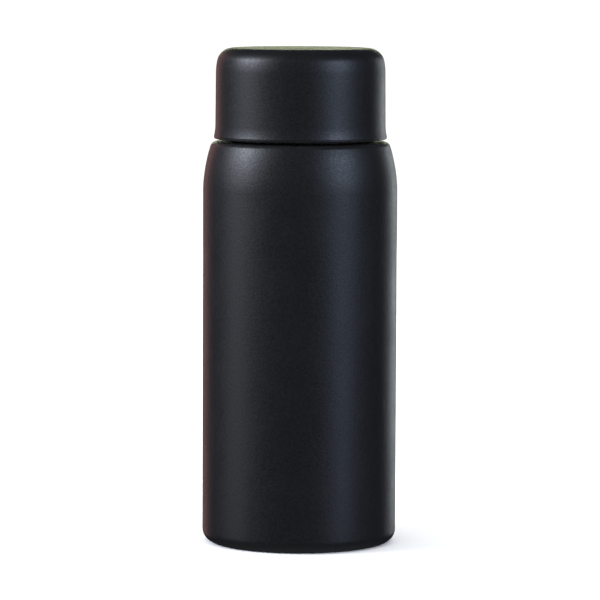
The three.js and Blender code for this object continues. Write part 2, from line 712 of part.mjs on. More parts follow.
const finish = (color, roughness, metalness) =>
  new THREE.MeshStandardMaterial({ color, roughness, metalness });

const coatedSteel = finish(0x1d1e22, 0.55, 0.2);
const steel = finish(0xb9bbbd, 0.25, 1);
const copper = finish(0xb87333, 0.3, 1);
const sinter = finish(0x5a5c60, 0.9, 0.3);
const glass = finish(0x2f3d37, 0.1, 0);
const blackPlastic = finish(0x17181a, 0.45, 0);
const greyPlastic = finish(0x4a4c50, 0.4, 0);
const silicone = finish(0xc9cbc8, 0.5, 0);
const foam = finish(0xe9e6dc, 0.95, 0);

const pieces = {
  flask: {
    outer_shell: [outerShell, coatedSteel],
    inner_bottle: [innerBottle, steel],
    copper_foil: [copperFoil, copper],
    getter_cup: [getterCup, steel],
    getter_pellet: [getterPellet, sinter],
    base_plate: [basePlate, steel],
    solder_plug: [solderPlug, glass],
    base_cover: [baseCover, coatedSteel],
    neck_collar: [neckCollar, blackPlastic],
  },
  stopper: {
    stopper_flange_seal: [stopperFlangeSeal, silicone],
    stopper_body: [stopperBody, blackPlastic],
    stopper_foam: [stopperFoam, foam],
    foam_cap: [foamCap, blackPlastic],
    stopper_cover: [stopperCover, blackPlastic],
    stopper_lower_seal: [stopperLowerSeal, silicone],
    stem_seal: [stemSeal, silicone],
    button_spring: [buttonSpring, steel],
  },
  valve: {
    push_button: [pushButton, greyPlastic],
    valve_stem: [valveStem, greyPlastic],
    valve_head: [valveHead, greyPlastic],
    valve_seal: [valveSeal, silicone],
  },
  cup: {
    cup_shell: [cupShell, coatedSteel],
    cup_liner: [cupLiner, blackPlastic],
    cup_foam_disc: [cupFoamDisc, foam],
    cup_seal_ring: [cupSealRing, silicone],
  },
};

const flask = new THREE.Group();
for (const [groupName, group] of Object.entries(pieces)) {
  const assembly = new THREE.Group();
  assembly.name = `${groupName}_group`;
  for (const [name, [make, material]] of Object.entries(group)) {
    const mesh = new THREE.Mesh(make(), material);
    mesh.name = name;
    assembly.add(mesh);
  }
  flask.add(assembly);
}

export default flask;
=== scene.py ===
"""The looks of a small vacuum flask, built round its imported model.

Lengths inside the classes are in millimetres, and a finished mesh is in metres. Each piece is
turned about the flask's axis from an outline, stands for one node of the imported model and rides
on that node's body.
"""

import json
import logging
import math
from abc import ABC, abstractmethod
from collections.abc import Callable, Iterable, Sequence
from dataclasses import dataclass
from enum import Enum
from typing import ClassVar

import bmesh
import bpy
from mathutils import Matrix, Vector


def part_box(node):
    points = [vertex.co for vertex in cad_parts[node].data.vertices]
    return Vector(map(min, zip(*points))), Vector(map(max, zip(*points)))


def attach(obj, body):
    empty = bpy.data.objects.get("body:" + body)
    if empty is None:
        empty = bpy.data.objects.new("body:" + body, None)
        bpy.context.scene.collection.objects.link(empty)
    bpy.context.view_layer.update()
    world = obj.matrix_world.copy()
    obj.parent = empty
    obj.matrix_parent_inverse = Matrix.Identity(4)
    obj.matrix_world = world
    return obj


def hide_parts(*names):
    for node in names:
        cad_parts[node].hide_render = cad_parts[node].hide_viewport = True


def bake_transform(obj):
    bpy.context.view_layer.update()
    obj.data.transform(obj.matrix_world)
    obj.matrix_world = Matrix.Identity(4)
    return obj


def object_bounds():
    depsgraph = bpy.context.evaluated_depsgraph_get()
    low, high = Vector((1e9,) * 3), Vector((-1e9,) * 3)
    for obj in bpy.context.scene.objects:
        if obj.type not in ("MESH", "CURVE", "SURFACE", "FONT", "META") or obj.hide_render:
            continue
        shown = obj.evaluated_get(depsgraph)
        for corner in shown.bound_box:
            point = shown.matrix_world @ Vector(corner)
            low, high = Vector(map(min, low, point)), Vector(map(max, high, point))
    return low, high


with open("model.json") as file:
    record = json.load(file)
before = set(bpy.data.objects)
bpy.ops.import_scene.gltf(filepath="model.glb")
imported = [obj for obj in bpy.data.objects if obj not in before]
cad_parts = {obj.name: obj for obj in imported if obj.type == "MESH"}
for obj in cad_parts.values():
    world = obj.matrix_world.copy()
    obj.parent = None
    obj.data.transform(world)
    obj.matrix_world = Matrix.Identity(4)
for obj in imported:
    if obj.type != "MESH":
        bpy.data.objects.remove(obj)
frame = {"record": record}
CAD_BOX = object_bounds()

LOG = logging.getLogger("vacuum_flask")
MM = 0.001
FULL_TURN = 2 * math.pi
FIT = 0.25  # gap between pieces that rest on, or are pressed into, each other
STEEL_WALL = 0.5
NEAR = 1e-3  # how close two lengths are that are meant to be the same
MERGE = 1e-7  # metres within which vertices become one
SHARP_ANGLE = math.radians(38)  # a steeper edge is shaded as a crease


class Slot(Enum):
    """The record's material slots."""

    POWDER_COAT = "powder_coat"
    POLISHED_STEEL = "polished_steel"
    PLAIN_STEEL = "plain_steel"
    COPPER = "copper"
    GETTER = "sintered_getter"
    GLASS = "solder_glass"
    BLACK_PLASTIC = "black_plastic"
    GREY_PLASTIC = "grey_plastic"
    SILICONE = "silicone"
    FOAM = "foam"


class Side(Enum):
    """The way that a thread stands off its wall."""

    OUTWARDS = 1
    INWARDS = -1


class Facets(Enum):
    """How finely a turned piece is divided round the axis."""

    LARGE = 192
    SMALL = 72


# ---------------------------------------------------------------- shader effects


class Graph:
    """A node tree that nodes are added to and linked in one call each."""

    def __init__(self, tree: bpy.types.NodeTree) -> None:
        """Keeps the tree.

        Args:
            tree: A material's, world's or group's node tree.
        """
        self.tree = tree

    def add(self, kind: str, inputs: dict | None = None, **settings: object) -> bpy.types.Node:
        """Adds a node.

        Args:
            kind: The node's type.
            inputs: A value, or a socket to link from, for each input by its name or number.
            **settings: The node's own properties.

        Returns:
            The node.
        """
        node = self.tree.nodes.new(kind)
        for name, value in settings.items():
            setattr(node, name, value)
        for name, value in (inputs or {}).items():
            if isinstance(value, bpy.types.NodeSocket):
                self.tree.links.new(value, node.inputs[name])
            else:
                node.inputs[name].default_value = value
        return node

    def maths(self, operation: str, *values: object, clamp: bool = False) -> bpy.types.NodeSocket:
        """Adds a Math node.

        Args:
            operation: What it does.
            *values: Its inputs, in order.
            clamp: Whether its result stays within 0 and 1.

        Returns:
            Its output.
        """
        inputs = dict(enumerate(values))
        return self.add("ShaderNodeMath", inputs, operation=operation, use_clamp=clamp).outputs[0]

    def remap(self, value: object, *limits: float) -> bpy.types.NodeSocket:
        """Maps a value from one range to another.

        Args:
            value: The value's socket.
            *limits: From low, from high, to low and to high.

        Returns:
            The mapped value, kept within the second range.
        """
        names = ("Value", "From Min", "From Max", "To Min", "To Max")
        return self.add("ShaderNodeMapRange", dict(zip(names, (value, *limits)))).outputs[0]

    def blend(self, mask: object, low: Sequence[float], high: Sequence[float]) -> bpy.types.NodeSocket:
        """Mixes two colours by a mask.

        Args:
            mask: The mask's socket.
            low: Colour where the mask is 0.
            high: Colour where the mask is 1.

        Returns:
            The mixed colour.
        """
        inputs = {"Factor": mask, 6: (*low, 1), 7: (*high, 1)}
        return self.add("ShaderNodeMix", inputs, data_type="RGBA").outputs[2]


class Effect(ABC):
    """A shader effect that several finishes share, kept as one node group."""

    name: ClassVar[str]
    inputs: ClassVar[dict[str, float]] = {}
    outputs: ClassVar[tuple[str, ...]] = ()

    @abstractmethod
    def wire(self, graph: Graph, given: bpy.types.Node) -> dict[str, bpy.types.NodeSocket]:
        """Makes the group's own nodes.

        Args:
            graph: The group's tree.
            given: The node that holds the group's inputs.

        Returns:
            The socket that feeds each output.
        """

    def group(self) -> bpy.types.NodeTree:
        """Makes the node group, or finds it where it has been made.

        Returns:
            The group.
        """
        made = bpy.data.node_groups.get(self.name)
        if made:
            return made
        tree = bpy.data.node_groups.new(self.name, "ShaderNodeTree")
        for name, value in self.inputs.items():
            socket = tree.interface.new_socket(name, in_out="INPUT", socket_type="NodeSocketFloat")
            socket.default_value = value
        for name in self.outputs:
            tree.interface.new_socket(name, in_out="OUTPUT", socket_type="NodeSocketFloat")
        graph = Graph(tree)
        results = self.wire(graph, graph.add("NodeGroupInput"))
        graph.add("NodeGroupOutput", results)
        return tree

    def place(self, graph: Graph, **values: float) -> bpy.types.NodeOutputs:
        """Places the group in a material.

        Args:
            graph: The material's tree.
            **values: The group's inputs for this material.

        Returns:
            The group's outputs.
        """
        return graph.add("ShaderNodeGroup", values, node_tree=self.group()).outputs


class Grain(Effect):
    """Fine texture of a sprayed or moulded surface over a slower waviness."""

    name = "surface_grain"
    inputs = {"Scale": 3000.0, "Waviness": 0.4}
    outputs = ("Height", "Mottle")

    def wire(self, graph: Graph, given: bpy.types.Node) -> dict[str, bpy.types.NodeSocket]:
        """See Effect.wire."""
        place = graph.add("ShaderNodeTexCoord").outputs["Object"]
        fine_inputs = {"Vector": place, "Scale": given.outputs["Scale"], "Detail": 3, "Roughness": 0.6}
        fine = graph.add("ShaderNodeTexNoise", fine_inputs)
        slow_scale = graph.maths("MULTIPLY", given.outputs["Scale"], 0.34)
        slow = graph.add("ShaderNodeTexNoise", {"Vector": place, "Scale": slow_scale, "Detail": 1})
        waves = graph.maths("MULTIPLY", slow.outputs[0], given.outputs["Waviness"])
        return {"Height": graph.maths("ADD", fine.outputs[0], waves), "Mottle": slow.outputs[0]}


class TurningLines(Effect):
    """Fine rings left by turning and polishing about the axis."""

    name = "turning_lines"
    inputs = {"Density": 4000.0}
    outputs = ("Height",)

    def wire(self, graph: Graph, given: bpy.types.Node) -> dict[str, bpy.types.NodeSocket]:
        """See Effect.wire."""
        place = graph.add("ShaderNodeTexCoord").outputs["Object"]
        parts = graph.add("ShaderNodeSeparateXYZ", {0: place}).outputs
        flat = graph.add("ShaderNodeCombineXYZ", {0: parts[0], 1: parts[1]}).outputs[0]
        radius = graph.add("ShaderNodeVectorMath", {0: flat}, operation="LENGTH").outputs["Value"]
        along = graph.maths("ADD", parts[2], radius)
        step = graph.maths("MULTIPLY", along, given.outputs["Density"])
        inputs = {"W": step, "Scale": 1, "Detail": 4, "Roughness": 0.7}
        lines = graph.add("ShaderNodeTexNoise", inputs, noise_dimensions="1D")
        return {"Height": lines.outputs[0]}


class Handling(Effect):
    """Soft patches where a surface has been touched and wiped."""

    name = "handling_marks"
    inputs = {"Size": 14.0}
    outputs = ("Mask",)

    def wire(self, graph: Graph, given: bpy.types.Node) -> dict[str, bpy.types.NodeSocket]:
        """See Effect.wire."""
        place = graph.add("ShaderNodeTexCoord").outputs["Object"]
        scale = graph.maths("DIVIDE", 1000.0, given.outputs["Size"])
        inputs = {"Vector": place, "Scale": scale, "Detail": 4, "Roughness": 0.55, "Distortion": 0.6}
        patches = graph.add("ShaderNodeTexNoise", inputs)
        return {"Mask": graph.remap(patches.outputs[0], 0.35, 0.68, 0, 1)}


class EdgePolish(Effect):
    """Outer edges, where a finish rubs smooth first."""

    name = "edge_polish"
    inputs = {"Start": 0.51, "Full": 0.56}
    outputs = ("Mask",)

    def wire(self, graph: Graph, given: bpy.types.Node) -> dict[str, bpy.types.NodeSocket]:
        """See Effect.wire."""
        sharpness = graph.add("ShaderNodeNewGeometry").outputs["Pointiness"]
        edges = graph.remap(sharpness, given.outputs["Start"], given.outputs["Full"], 0, 1)
        place = graph.add("ShaderNodeTexCoord").outputs["Object"]
        broken = graph.add("ShaderNodeTexNoise", {"Vector": place, "Scale": 700, "Detail": 3})
        return {"Mask": graph.maths("MULTIPLY", edges, graph.remap(broken.outputs[0], 0.35, 0.6, 0, 1))}


class Dust(Effect):
    """Sparse small specks, each in a cell of its own."""

    name = "dust_specks"
    inputs = {"Scale": 260.0, "Share": 0.12, "Size": 0.05}
    outputs = ("Mask",)

    def wire(self, graph: Graph, given: bpy.types.Node) -> dict[str, bpy.types.NodeSocket]:
        """See Effect.wire."""
        place = graph.add("ShaderNodeTexCoord").outputs["Object"]
        cells = graph.add("ShaderNodeTexVoronoi", {"Vector": place, "Scale": given.outputs["Scale"]})
        near = graph.maths("LESS_THAN", cells.outputs["Distance"], given.outputs["Size"])
        pick = graph.add("ShaderNodeSeparateColor", {0: cells.outputs["Color"]}).outputs[0]
        chosen = graph.maths("LESS_THAN", pick, given.outputs["Share"])
        return {"Mask": graph.maths("MULTIPLY", near, chosen)}


# ---------------------------------------------------------------- finishes


@dataclass(frozen=True)
class Finish(ABC):
    """A surface finish, kept as one material.

    Attributes:
        slot: The record's slot that it belongs to.
    """

    slot: Slot

    @abstractmethod
    def shade(self, graph: Graph) -> dict[str, object]:
        """Makes the nodes that vary over the surface.

        Args:
            graph: The material's tree.

        Returns:
            A value or socket for each of the shader's inputs.
        """

    def material(self) -> bpy.types.Material:
        """Makes the material, or finds it where it has been made.

        Returns:
            The material.
        """
        name = f"{self.slot.value}_finish"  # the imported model's own materials have the slots' names
        made = bpy.data.materials.get(name)
        if made:
            return made
        made = bpy.data.materials.new(name)
        made.use_nodes = True
        made.node_tree.nodes.clear()
        graph = Graph(made.node_tree)
        shader = graph.add("ShaderNodeBsdfPrincipled", self.shade(graph))
        graph.add("ShaderNodeOutputMaterial", {"Surface": shader.outputs[0]})
        return made

    @staticmethod
    def bump(graph: Graph, height: object, depth: float, strength: float = 1.0) -> bpy.types.NodeSocket:
        """Makes a normal from a height.

        Args:
            graph: The material's tree.
            height: The height's socket.
            depth: Height of a full step, in millimetres.
            strength: How much of it shows.

        Returns:
            The normal.
        """
        inputs = {"Height": height, "Distance": depth * MM, "Strength": strength}
        return graph.add("ShaderNodeBump", inputs).outputs[0]


@dataclass(frozen=True)
class PowderCoat(Finish):
    """Fine-textured matt powder coat on steel.

    Attributes:
        shadow: Darker colour of its mottle.
        light: Lighter colour of its mottle.
        rubbed: Colour of worn edges and of dust.
        roughness: Roughness where it is clean and where it has been handled.
    """

    slot: Slot = Slot.POWDER_COAT
    shadow: tuple[float, float, float] = (0.003, 0.0034, 0.0042)
    light: tuple[float, float, float] = (0.005, 0.0056, 0.0068)
    rubbed: tuple[float, float, float] = (0.022, 0.022, 0.024)
    roughness: tuple[float, float] = (0.42, 0.47)

    def shade(self, graph: Graph) -> dict[str, object]:
        """See Finish.shade."""
        grain = Grain().place(graph, Scale=3200, Waviness=1.2)
        touched = Handling().place(graph, Size=16)["Mask"]
        edges = EdgePolish().place(graph, Start=0.515, Full=0.58)["Mask"]
        specks = Dust().place(graph, Scale=210, Share=0.05, Size=0.035)["Mask"]
        coat = graph.blend(grain["Mottle"], self.shadow, self.light)
        thin = graph.maths("MULTIPLY", edges, 0.5)
        worn = graph.maths("ADD", thin, graph.maths("MULTIPLY", specks, 0.6))
        mix = {"Factor": worn, 6: coat, 7: (*self.rubbed, 1)}
        colour = graph.add("ShaderNodeMix", mix, data_type="RGBA")
        gloss = graph.remap(touched, 0, 1, *self.roughness)
        varied = graph.maths("ADD", gloss, graph.remap(grain["Height"], 0.8, 1.4, -0.04, 0.04))
        return {
            "Base Color": colour.outputs[2],
            "Roughness": graph.maths("SUBTRACT", varied, graph.maths("MULTIPLY", edges, 0.1)),
            "Normal": self.bump(graph, grain["Height"], 0.027),
        }


@dataclass(frozen=True)
class Steel(Finish):
    """Bare stainless steel with turning lines.

    Attributes:
        clean: Colour of the clean metal.
        dull: Colour where it has been handled.
        roughness: Roughness where clean and where handled.
        line_depth: Depth of the turning lines, in millimetres.
    """

    clean: tuple[float, float, float] = (0.62, 0.615, 0.6)
    dull: tuple[float, float, float] = (0.5, 0.49, 0.475)
    roughness: tuple[float, float] = (0.2, 0.3)
    line_depth: float = 0.006

    def shade(self, graph: Graph) -> dict[str, object]:
        """See Finish.shade."""
        lines = TurningLines().place(graph, Density=4200)["Height"]
        touched = Handling().place(graph, Size=9)["Mask"]
        gloss = graph.remap(touched, 0, 1, *self.roughness)
        return {
            "Base Color": graph.blend(touched, self.clean, self.dull),
            "Metallic": 1.0,
            "Roughness": graph.maths("ADD", gloss, graph.remap(lines, 0.3, 0.7, -0.05, 0.06)),
            "Normal": self.bump(graph, lines, self.line_depth),
        }


@dataclass(frozen=True)
class CopperFoil(Finish):
    """Thin bright foil with creases from being wrapped."""

    slot: Slot = Slot.COPPER
    clean: tuple[float, float, float] = (0.85, 0.4, 0.24)
    dull: tuple[float, float, float] = (0.6, 0.26, 0.15)

    def shade(self, graph: Graph) -> dict[str, object]:
        """See Finish.shade."""
        creases = Grain().place(graph, Scale=160, Waviness=1.2)["Height"]
        touched = Handling().place(graph, Size=12)["Mask"]
        return {
            "Base Color": graph.blend(touched, self.clean, self.dull),
            "Metallic": 1.0,
            "Roughness": graph.remap(touched, 0, 1, 0.22, 0.4),
            "Normal": self.bump(graph, creases, 0.3, 0.6),
        }


@dataclass(frozen=True)
class MouldedPlastic(Finish):
    """Fine-textured moulded polypropylene.

    Attributes:
        colour: Colour of the moulding.
        roughness: Roughness where it has been rubbed, and elsewhere.
    """

    colour: tuple[float, float, float] = (0.011, 0.011, 0.012)
    roughness: tuple[float, float] = (0.42, 0.47)

    def shade(self, graph: Graph) -> dict[str, object]:
        """See Finish.shade."""
        grain = Grain().place(graph, Scale=4200, Waviness=0.3)
        touched = Handling().place(graph, Size=7)["Mask"]
        edges = EdgePolish().place(graph, Start=0.52, Full=0.6)["Mask"]
        specks = Dust().place(graph, Scale=320, Share=0.08, Size=0.04)["Mask"]
        pale = tuple(1.5 * c + 0.012 for c in self.colour)
        rubbed = graph.maths("MULTIPLY", edges, 0.35)
        faded = graph.maths("ADD", rubbed, graph.maths("MULTIPLY", specks, 0.5))
        shades = graph.maths("ADD", faded, graph.remap(grain["Mottle"], 0.3, 0.7, 0, 0.12), clamp=True)
        return {
            "Base Color": graph.blend(shades, self.colour, pale),
            "Roughness": graph.remap(touched, 0, 1, *reversed(self.roughness)),
            "Normal": self.bump(graph, grain["Height"], 0.02),
        }


@dataclass(frozen=True)
class Silicone(Finish):
    """Translucent pale silicone rubber."""

    slot: Slot = Slot.SILICONE
    colour: tuple[float, float, float] = (0.25, 0.255, 0.25)
    cloudy: tuple[float, float, float] = (0.31, 0.31, 0.30)

    def shade(self, graph: Graph) -> dict[str, object]:
        """See Finish.shade."""
        grain = Grain().place(graph, Scale=2200, Waviness=0.6)
        touched = Handling().place(graph, Size=5)["Mask"]
        specks = Dust().place(graph, Scale=500, Share=0.1, Size=0.06)["Mask"]
        milky = graph.blend(grain["Mottle"], self.colour, self.cloudy)
        dusty = {"Factor": graph.maths("MULTIPLY", specks, 0.6), 6: milky, 7: (0.3, 0.29, 0.27, 1)}
        return {
            "Base Color": graph.add("ShaderNodeMix", dusty, data_type="RGBA").outputs[2],
            "Roughness": graph.remap(touched, 0, 1, 0.38, 0.52),
            "Subsurface Weight": 0.35,
            "Subsurface Radius": (0.0012, 0.0011, 0.001),
            "Subsurface Scale": 1.0,
            "Normal": self.bump(graph, grain["Height"], 0.012),
        }


@dataclass(frozen=True)
class Foam(Finish):
    """Closed-cell insulating foam."""

    slot: Slot = Slot.FOAM
    cell: tuple[float, float, float] = (0.62, 0.6, 0.53)
    skin: tuple[float, float, float] = (0.84, 0.82, 0.75)

    def shade(self, graph: Graph) -> dict[str, object]:
        """See Finish.shade."""
        place = graph.add("ShaderNodeTexCoord").outputs["Object"]
        cells = graph.add("ShaderNodeTexVoronoi", {"Vector": place, "Scale": 1400}).outputs["Distance"]
        grain = Grain().place(graph, Scale=900, Waviness=0.5)["Height"]
        return {
            "Base Color": graph.blend(cells, self.cell, self.skin),
            "Roughness": graph.remap(grain, 0.4, 1.2, 0.85, 0.98),
            "Normal": self.bump(graph, cells, 0.25),
        }


@dataclass(frozen=True)
class Sinter(Finish):
    """Dull porous sintered metal."""

    slot: Slot = Slot.GETTER
    pore: tuple[float, float, float] = (0.045, 0.045, 0.05)
    metal: tuple[float, float, float] = (0.19, 0.19, 0.2)

    def shade(self, graph: Graph) -> dict[str, object]:
        """See Finish.shade."""
        grain = Grain().place(graph, Scale=3000, Waviness=0.7)
        return {
            "Base Color": graph.blend(grain["Mottle"], self.pore, self.metal),
            "Metallic": 0.6,
            "Roughness": graph.remap(grain["Height"], 0.4, 1.4, 0.6, 0.95),
            "Normal": self.bump(graph, grain["Height"], 0.08),
        }


@dataclass(frozen=True)
class SolderGlass(Finish):
    """Dark fused solder glass with bubbles near its surface."""

    slot: Slot = Slot.GLASS
    clear: tuple[float, float, float] = (0.03, 0.06, 0.05)
    milky: tuple[float, float, float] = (0.09, 0.13, 0.12)

    def shade(self, graph: Graph) -> dict[str, object]:
        """See Finish.shade."""
        grain = Grain().place(graph, Scale=1600, Waviness=0.8)
        bubbles = Dust().place(graph, Scale=2500, Share=0.3, Size=0.2)["Mask"]
        return {
            "Base Color": graph.blend(bubbles, self.clear, self.milky),
            "Roughness": graph.remap(grain["Mottle"], 0.3, 0.7, 0.05, 0.2),
            "Coat Weight": 0.5,
            "Normal": self.bump(graph, grain["Height"], 0.03, 0.5),
        }


COAT = PowderCoat()
POLISHED = Steel(Slot.POLISHED_STEEL)
DRAWN = Steel(Slot.PLAIN_STEEL, (0.5, 0.5, 0.49), (0.4, 0.39, 0.38), (0.3, 0.42), 0.012)
BLACK = MouldedPlastic(Slot.BLACK_PLASTIC)
GREY = MouldedPlastic(Slot.GREY_PLASTIC, (0.062, 0.063, 0.068), (0.3, 0.42))
SILICONE = Silicone()
FOAM = Foam()


# ---------------------------------------------------------------- turned pieces


@dataclass(frozen=True)
class Span:
    """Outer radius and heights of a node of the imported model."""

    radius: float
    bottom: float
    top: float

    @classmethod
    def of(cls, node: str) -> "Span":
        """Measures a node.

        Args:
            node: The node's name.

        Returns:
            Its span, in millimetres.
        """
        low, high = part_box(node)
        return cls(high.x / MM, low.z / MM, high.z / MM)


@dataclass(frozen=True)
class Corner:
    """A corner of a turned outline.

    Attributes:
        radius: Distance from the axis.
        height: Height above the foot.
        leg: Length that rounding takes off each edge that meets here.
    """

    radius: float
    height: float
    leg: float = 0.0


@dataclass(frozen=True)
class QuickThread:
    """Multi-start thread of short rounded ridges.

    Attributes:
        wall: Radius of the wall that it stands on.
        low: Height of the middle of each ridge's lower end.
        side: The way that it stands.
    """

    wall: float
    low: float
    side: Side
    starts: int = 3
    depth: float = 1.0
    root: float = 1.8
    crest: float = 0.4
    span: float = math.radians(190)
    run_out: float = math.radians(20)
    row: float = 0.11  # spacing of the wall's rows, so that a ridge's flank is smooth

    @property
    def lead(self) -> float:
        """Rise in one turn, which the record's couplings give."""
        return frame["record"]["behaviour"]["couplings"][0]["ratio"] * FULL_TURN / MM

    @property
    def reach(self) -> tuple[float, float]:
        """Lowest and highest height that a ridge touches."""
        return self.low - self.root / 2, self.low + self.lead * self.span / FULL_TURN + self.root / 2

    @staticmethod
    def ease(share: float) -> float:
        """A smooth step from 0 to 1."""
        share = min(max(share, 0.0), 1.0)
        return share * share * (3 - 2 * share)

    def relief(self, angle: float, height: float) -> float:
        """How far the ridges stand off the wall at one point of it.

        Args:
            angle: Angle round the axis, in radians.
            height: Height above the foot.

        Returns:
            The distance, positive away from the axis.
        """
        most = 0.0
        for start in range(self.starts):
            along = (angle - start * FULL_TURN / self.starts) % FULL_TURN
            if along <= self.span:
                off = abs(height - self.low - self.lead * along / FULL_TURN)
                flank = self.ease((self.root / 2 - off) / ((self.root - self.crest) / 2))
                end = min(along, self.span - along)
                fade = self.ease((end + self.run_out / 4) / (1.25 * self.run_out))
                most = max(most, self.depth * flank * fade)
        return most * self.side.value


@dataclass(frozen=True)
class Flutes:
    """Shallow scallops round a wall, for fingers to grip.

    Attributes:
        wall: Radius of the wall.
        low: Lower end of the scallops.
        high: Upper end.
        count: How many there are.
        depth: How deep they are.
    """

    wall: float
    low: float
    high: float
    count: int = 24
    depth: float = 0.35
    row: float = 0.3
    end: float = 0.7

    @property
    def reach(self) -> tuple[float, float]:
        """Lowest and highest height that a scallop touches."""
        return self.low, self.high

    def relief(self, angle: float, height: float) -> float:
        """How far the wall moves at one point of it.

        Args:
            angle: Angle round the axis, in radians.
            height: Height above the foot.

        Returns:
            The distance, positive away from the axis.
        """
        share = 0.5 + 0.5 * math.cos(self.count * angle)
        fade = QuickThread.ease(min(height - self.low, self.high - height) / self.end)
        return -self.depth * share * fade


class Turning:
    """A piece turned about the flask's axis."""

    LONGEST_EDGE: ClassVar[float] = 4.0  # so that shading stays even beside a rounding
    ROUND_STEP: ClassVar[float] = 0.35  # length of leg for each segment of a rounding
    ROUND_SEGMENTS: ClassVar[tuple[int, int]] = (3, 16)  # the fewest and the most

    def __init__(self, corners: Sequence[Corner], facets: Facets = Facets.LARGE) -> None:
        """Draws the outline and rounds its corners.

        Args:
            corners: The outline. It closes on itself unless it starts and ends on the axis.
            facets: How finely it is divided round the axis.
        """
        self.facets = facets
        self.mesh = bmesh.new()
        points = [self.mesh.verts.new((c.radius * MM, 0, c.height * MM)) for c in corners]
        on_axis = corners[0].radius == 0 and corners[-1].radius == 0
        for first, second in zip(points, points[1:] if on_axis else points[1:] + points[:1]):
            self.mesh.edges.new((first, second))
        for vertex, corner in zip(points, corners):
            if corner.leg:
                self._round(vertex, corner.leg)
        self._divide(self.LONGEST_EDGE, lambda edge: True)

    def _round(self, vertex: bmesh.types.BMVert, leg: float) -> None:
        """Rounds one corner of the outline.

        Args:
            vertex: The corner.
            leg: Length taken off each edge.
        """
        fewest, most = self.ROUND_SEGMENTS
        bmesh.ops.bevel(
            self.mesh,
            geom=[vertex],
            offset=leg * MM,
            offset_type="OFFSET",
            segments=min(max(math.ceil(leg / self.ROUND_STEP), fewest), most),
            profile=0.5,
            affect="VERTICES",
            material=-1,
            clamp_overlap=False,
        )

    def _divide(self, longest: float, wanted: Callable[[bmesh.types.BMEdge], bool]) -> None:
        """Divides the outline's edges.

        Args:
            longest: The longest edge that may be left.
            wanted: Says whether an edge is to be divided.
        """
        for edge in [e for e in self.mesh.edges if wanted(e)]:
            cuts = math.ceil(edge.calc_length() / (longest * MM) - 1e-6) - 1
            if cuts > 0:
                bmesh.ops.subdivide_edges(self.mesh, edges=[edge], cuts=cuts)

    def spin(self, *reliefs: QuickThread | Flutes) -> "Turning":
        """Spins the outline into a closed surface, and shapes its walls.

        Args:
            *reliefs: Threads and flutes that the piece has.

        Returns:
            The piece itself.
        """
        for relief in reliefs:
            self._divide(relief.row, lambda edge: self._under(relief, edge.verts))
        geometry = self.mesh.verts[:] + self.mesh.edges[:]
        bmesh.ops.spin(
            self.mesh,
            geom=geometry,
            cent=(0, 0, 0),
            axis=(0, 0, 1),
            angle=FULL_TURN,
            steps=self.facets.value,
            use_merge=True,
        )
        bmesh.ops.remove_doubles(self.mesh, verts=self.mesh.verts, dist=MERGE)
        bmesh.ops.recalc_face_normals(self.mesh, faces=self.mesh.faces)
        for relief in reliefs:
            self._shape(relief)
        return self

    @staticmethod
    def _under(relief: QuickThread | Flutes, vertices: Iterable[bmesh.types.BMVert]) -> bool:
        """Whether all the vertices lie on the stretch of wall that a thread or flutes shape."""
        low, high = relief.reach
        return all(
            abs(v.co.xy.length / MM - relief.wall) < NEAR and low - FIT < v.co.z / MM < high + FIT
            for v in vertices
        )

    def _shape(self, relief: QuickThread | Flutes) -> None:
        """Moves a wall's vertices to the ridges of a thread, or into flutes."""
        for vertex in [v for v in self.mesh.verts if self._under(relief, [v])]:
            angle = math.atan2(vertex.co.y, vertex.co.x)
            off = relief.relief(angle, vertex.co.z / MM)
            vertex.co.xy *= (relief.wall + off) / relief.wall

    def notch(self, inner: float, outer: float, root: float, tip: float, width: float) -> "Turning":
        """Cuts a gap through a standing or hanging wall, on the side that faces -Y.

        Args:
            inner: The wall's inner radius.
            outer: The wall's outer radius.
            root: Height that the wall grows from.
            tip: Height that it reaches.
            width: Width of the gap at the wall's outside.

        Returns:
            The piece itself.
        """
        half = math.asin(width / 2 / outer)
        low, high = min(root, tip) - NEAR, max(root, tip) + NEAR

        def in_gap(face: bmesh.types.BMFace) -> bool:
            """Whether a face is part of the wall, where the gap is."""
            middle = face.calc_center_median()
            heights = [v.co.z / MM for v in face.verts]
            radii = [v.co.xy.length / MM for v in face.verts]
            on_wall = inner - NEAR < min(radii) and max(radii) < outer + NEAR
            in_height = low < min(heights) and max(heights) < high
            return on_wall and in_height and abs(math.atan2(middle.x, -middle.y)) < half

        hits = [face for face in self.mesh.faces if in_gap(face)]
        bmesh.ops.delete(self.mesh, geom=hits, context="FACES")
        open_edges = [e for e in self.mesh.edges if e.is_boundary]
        roots = [e for e in open_edges if all(abs(v.co.z / MM - root) < NEAR for v in e.verts)]
        bmesh.ops.bridge_loops(self.mesh, edges=roots)
        bmesh.ops.holes_fill(self.mesh, edges=[e for e in self.mesh.edges if e.is_boundary], sides=0)
        bmesh.ops.recalc_face_normals(self.mesh, faces=self.mesh.faces)
        return self

    def piece(self, name: str, finish: Finish, body: str, node: str) -> bpy.types.Object:
        """Makes the finished object.

        Args:
            name: The object's name.
            finish: Its finish.
            body: The body that it rides on.
            node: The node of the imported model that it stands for.

        Returns:
            The object.
        """
        return finished(self.mesh, name, finish, body, node)


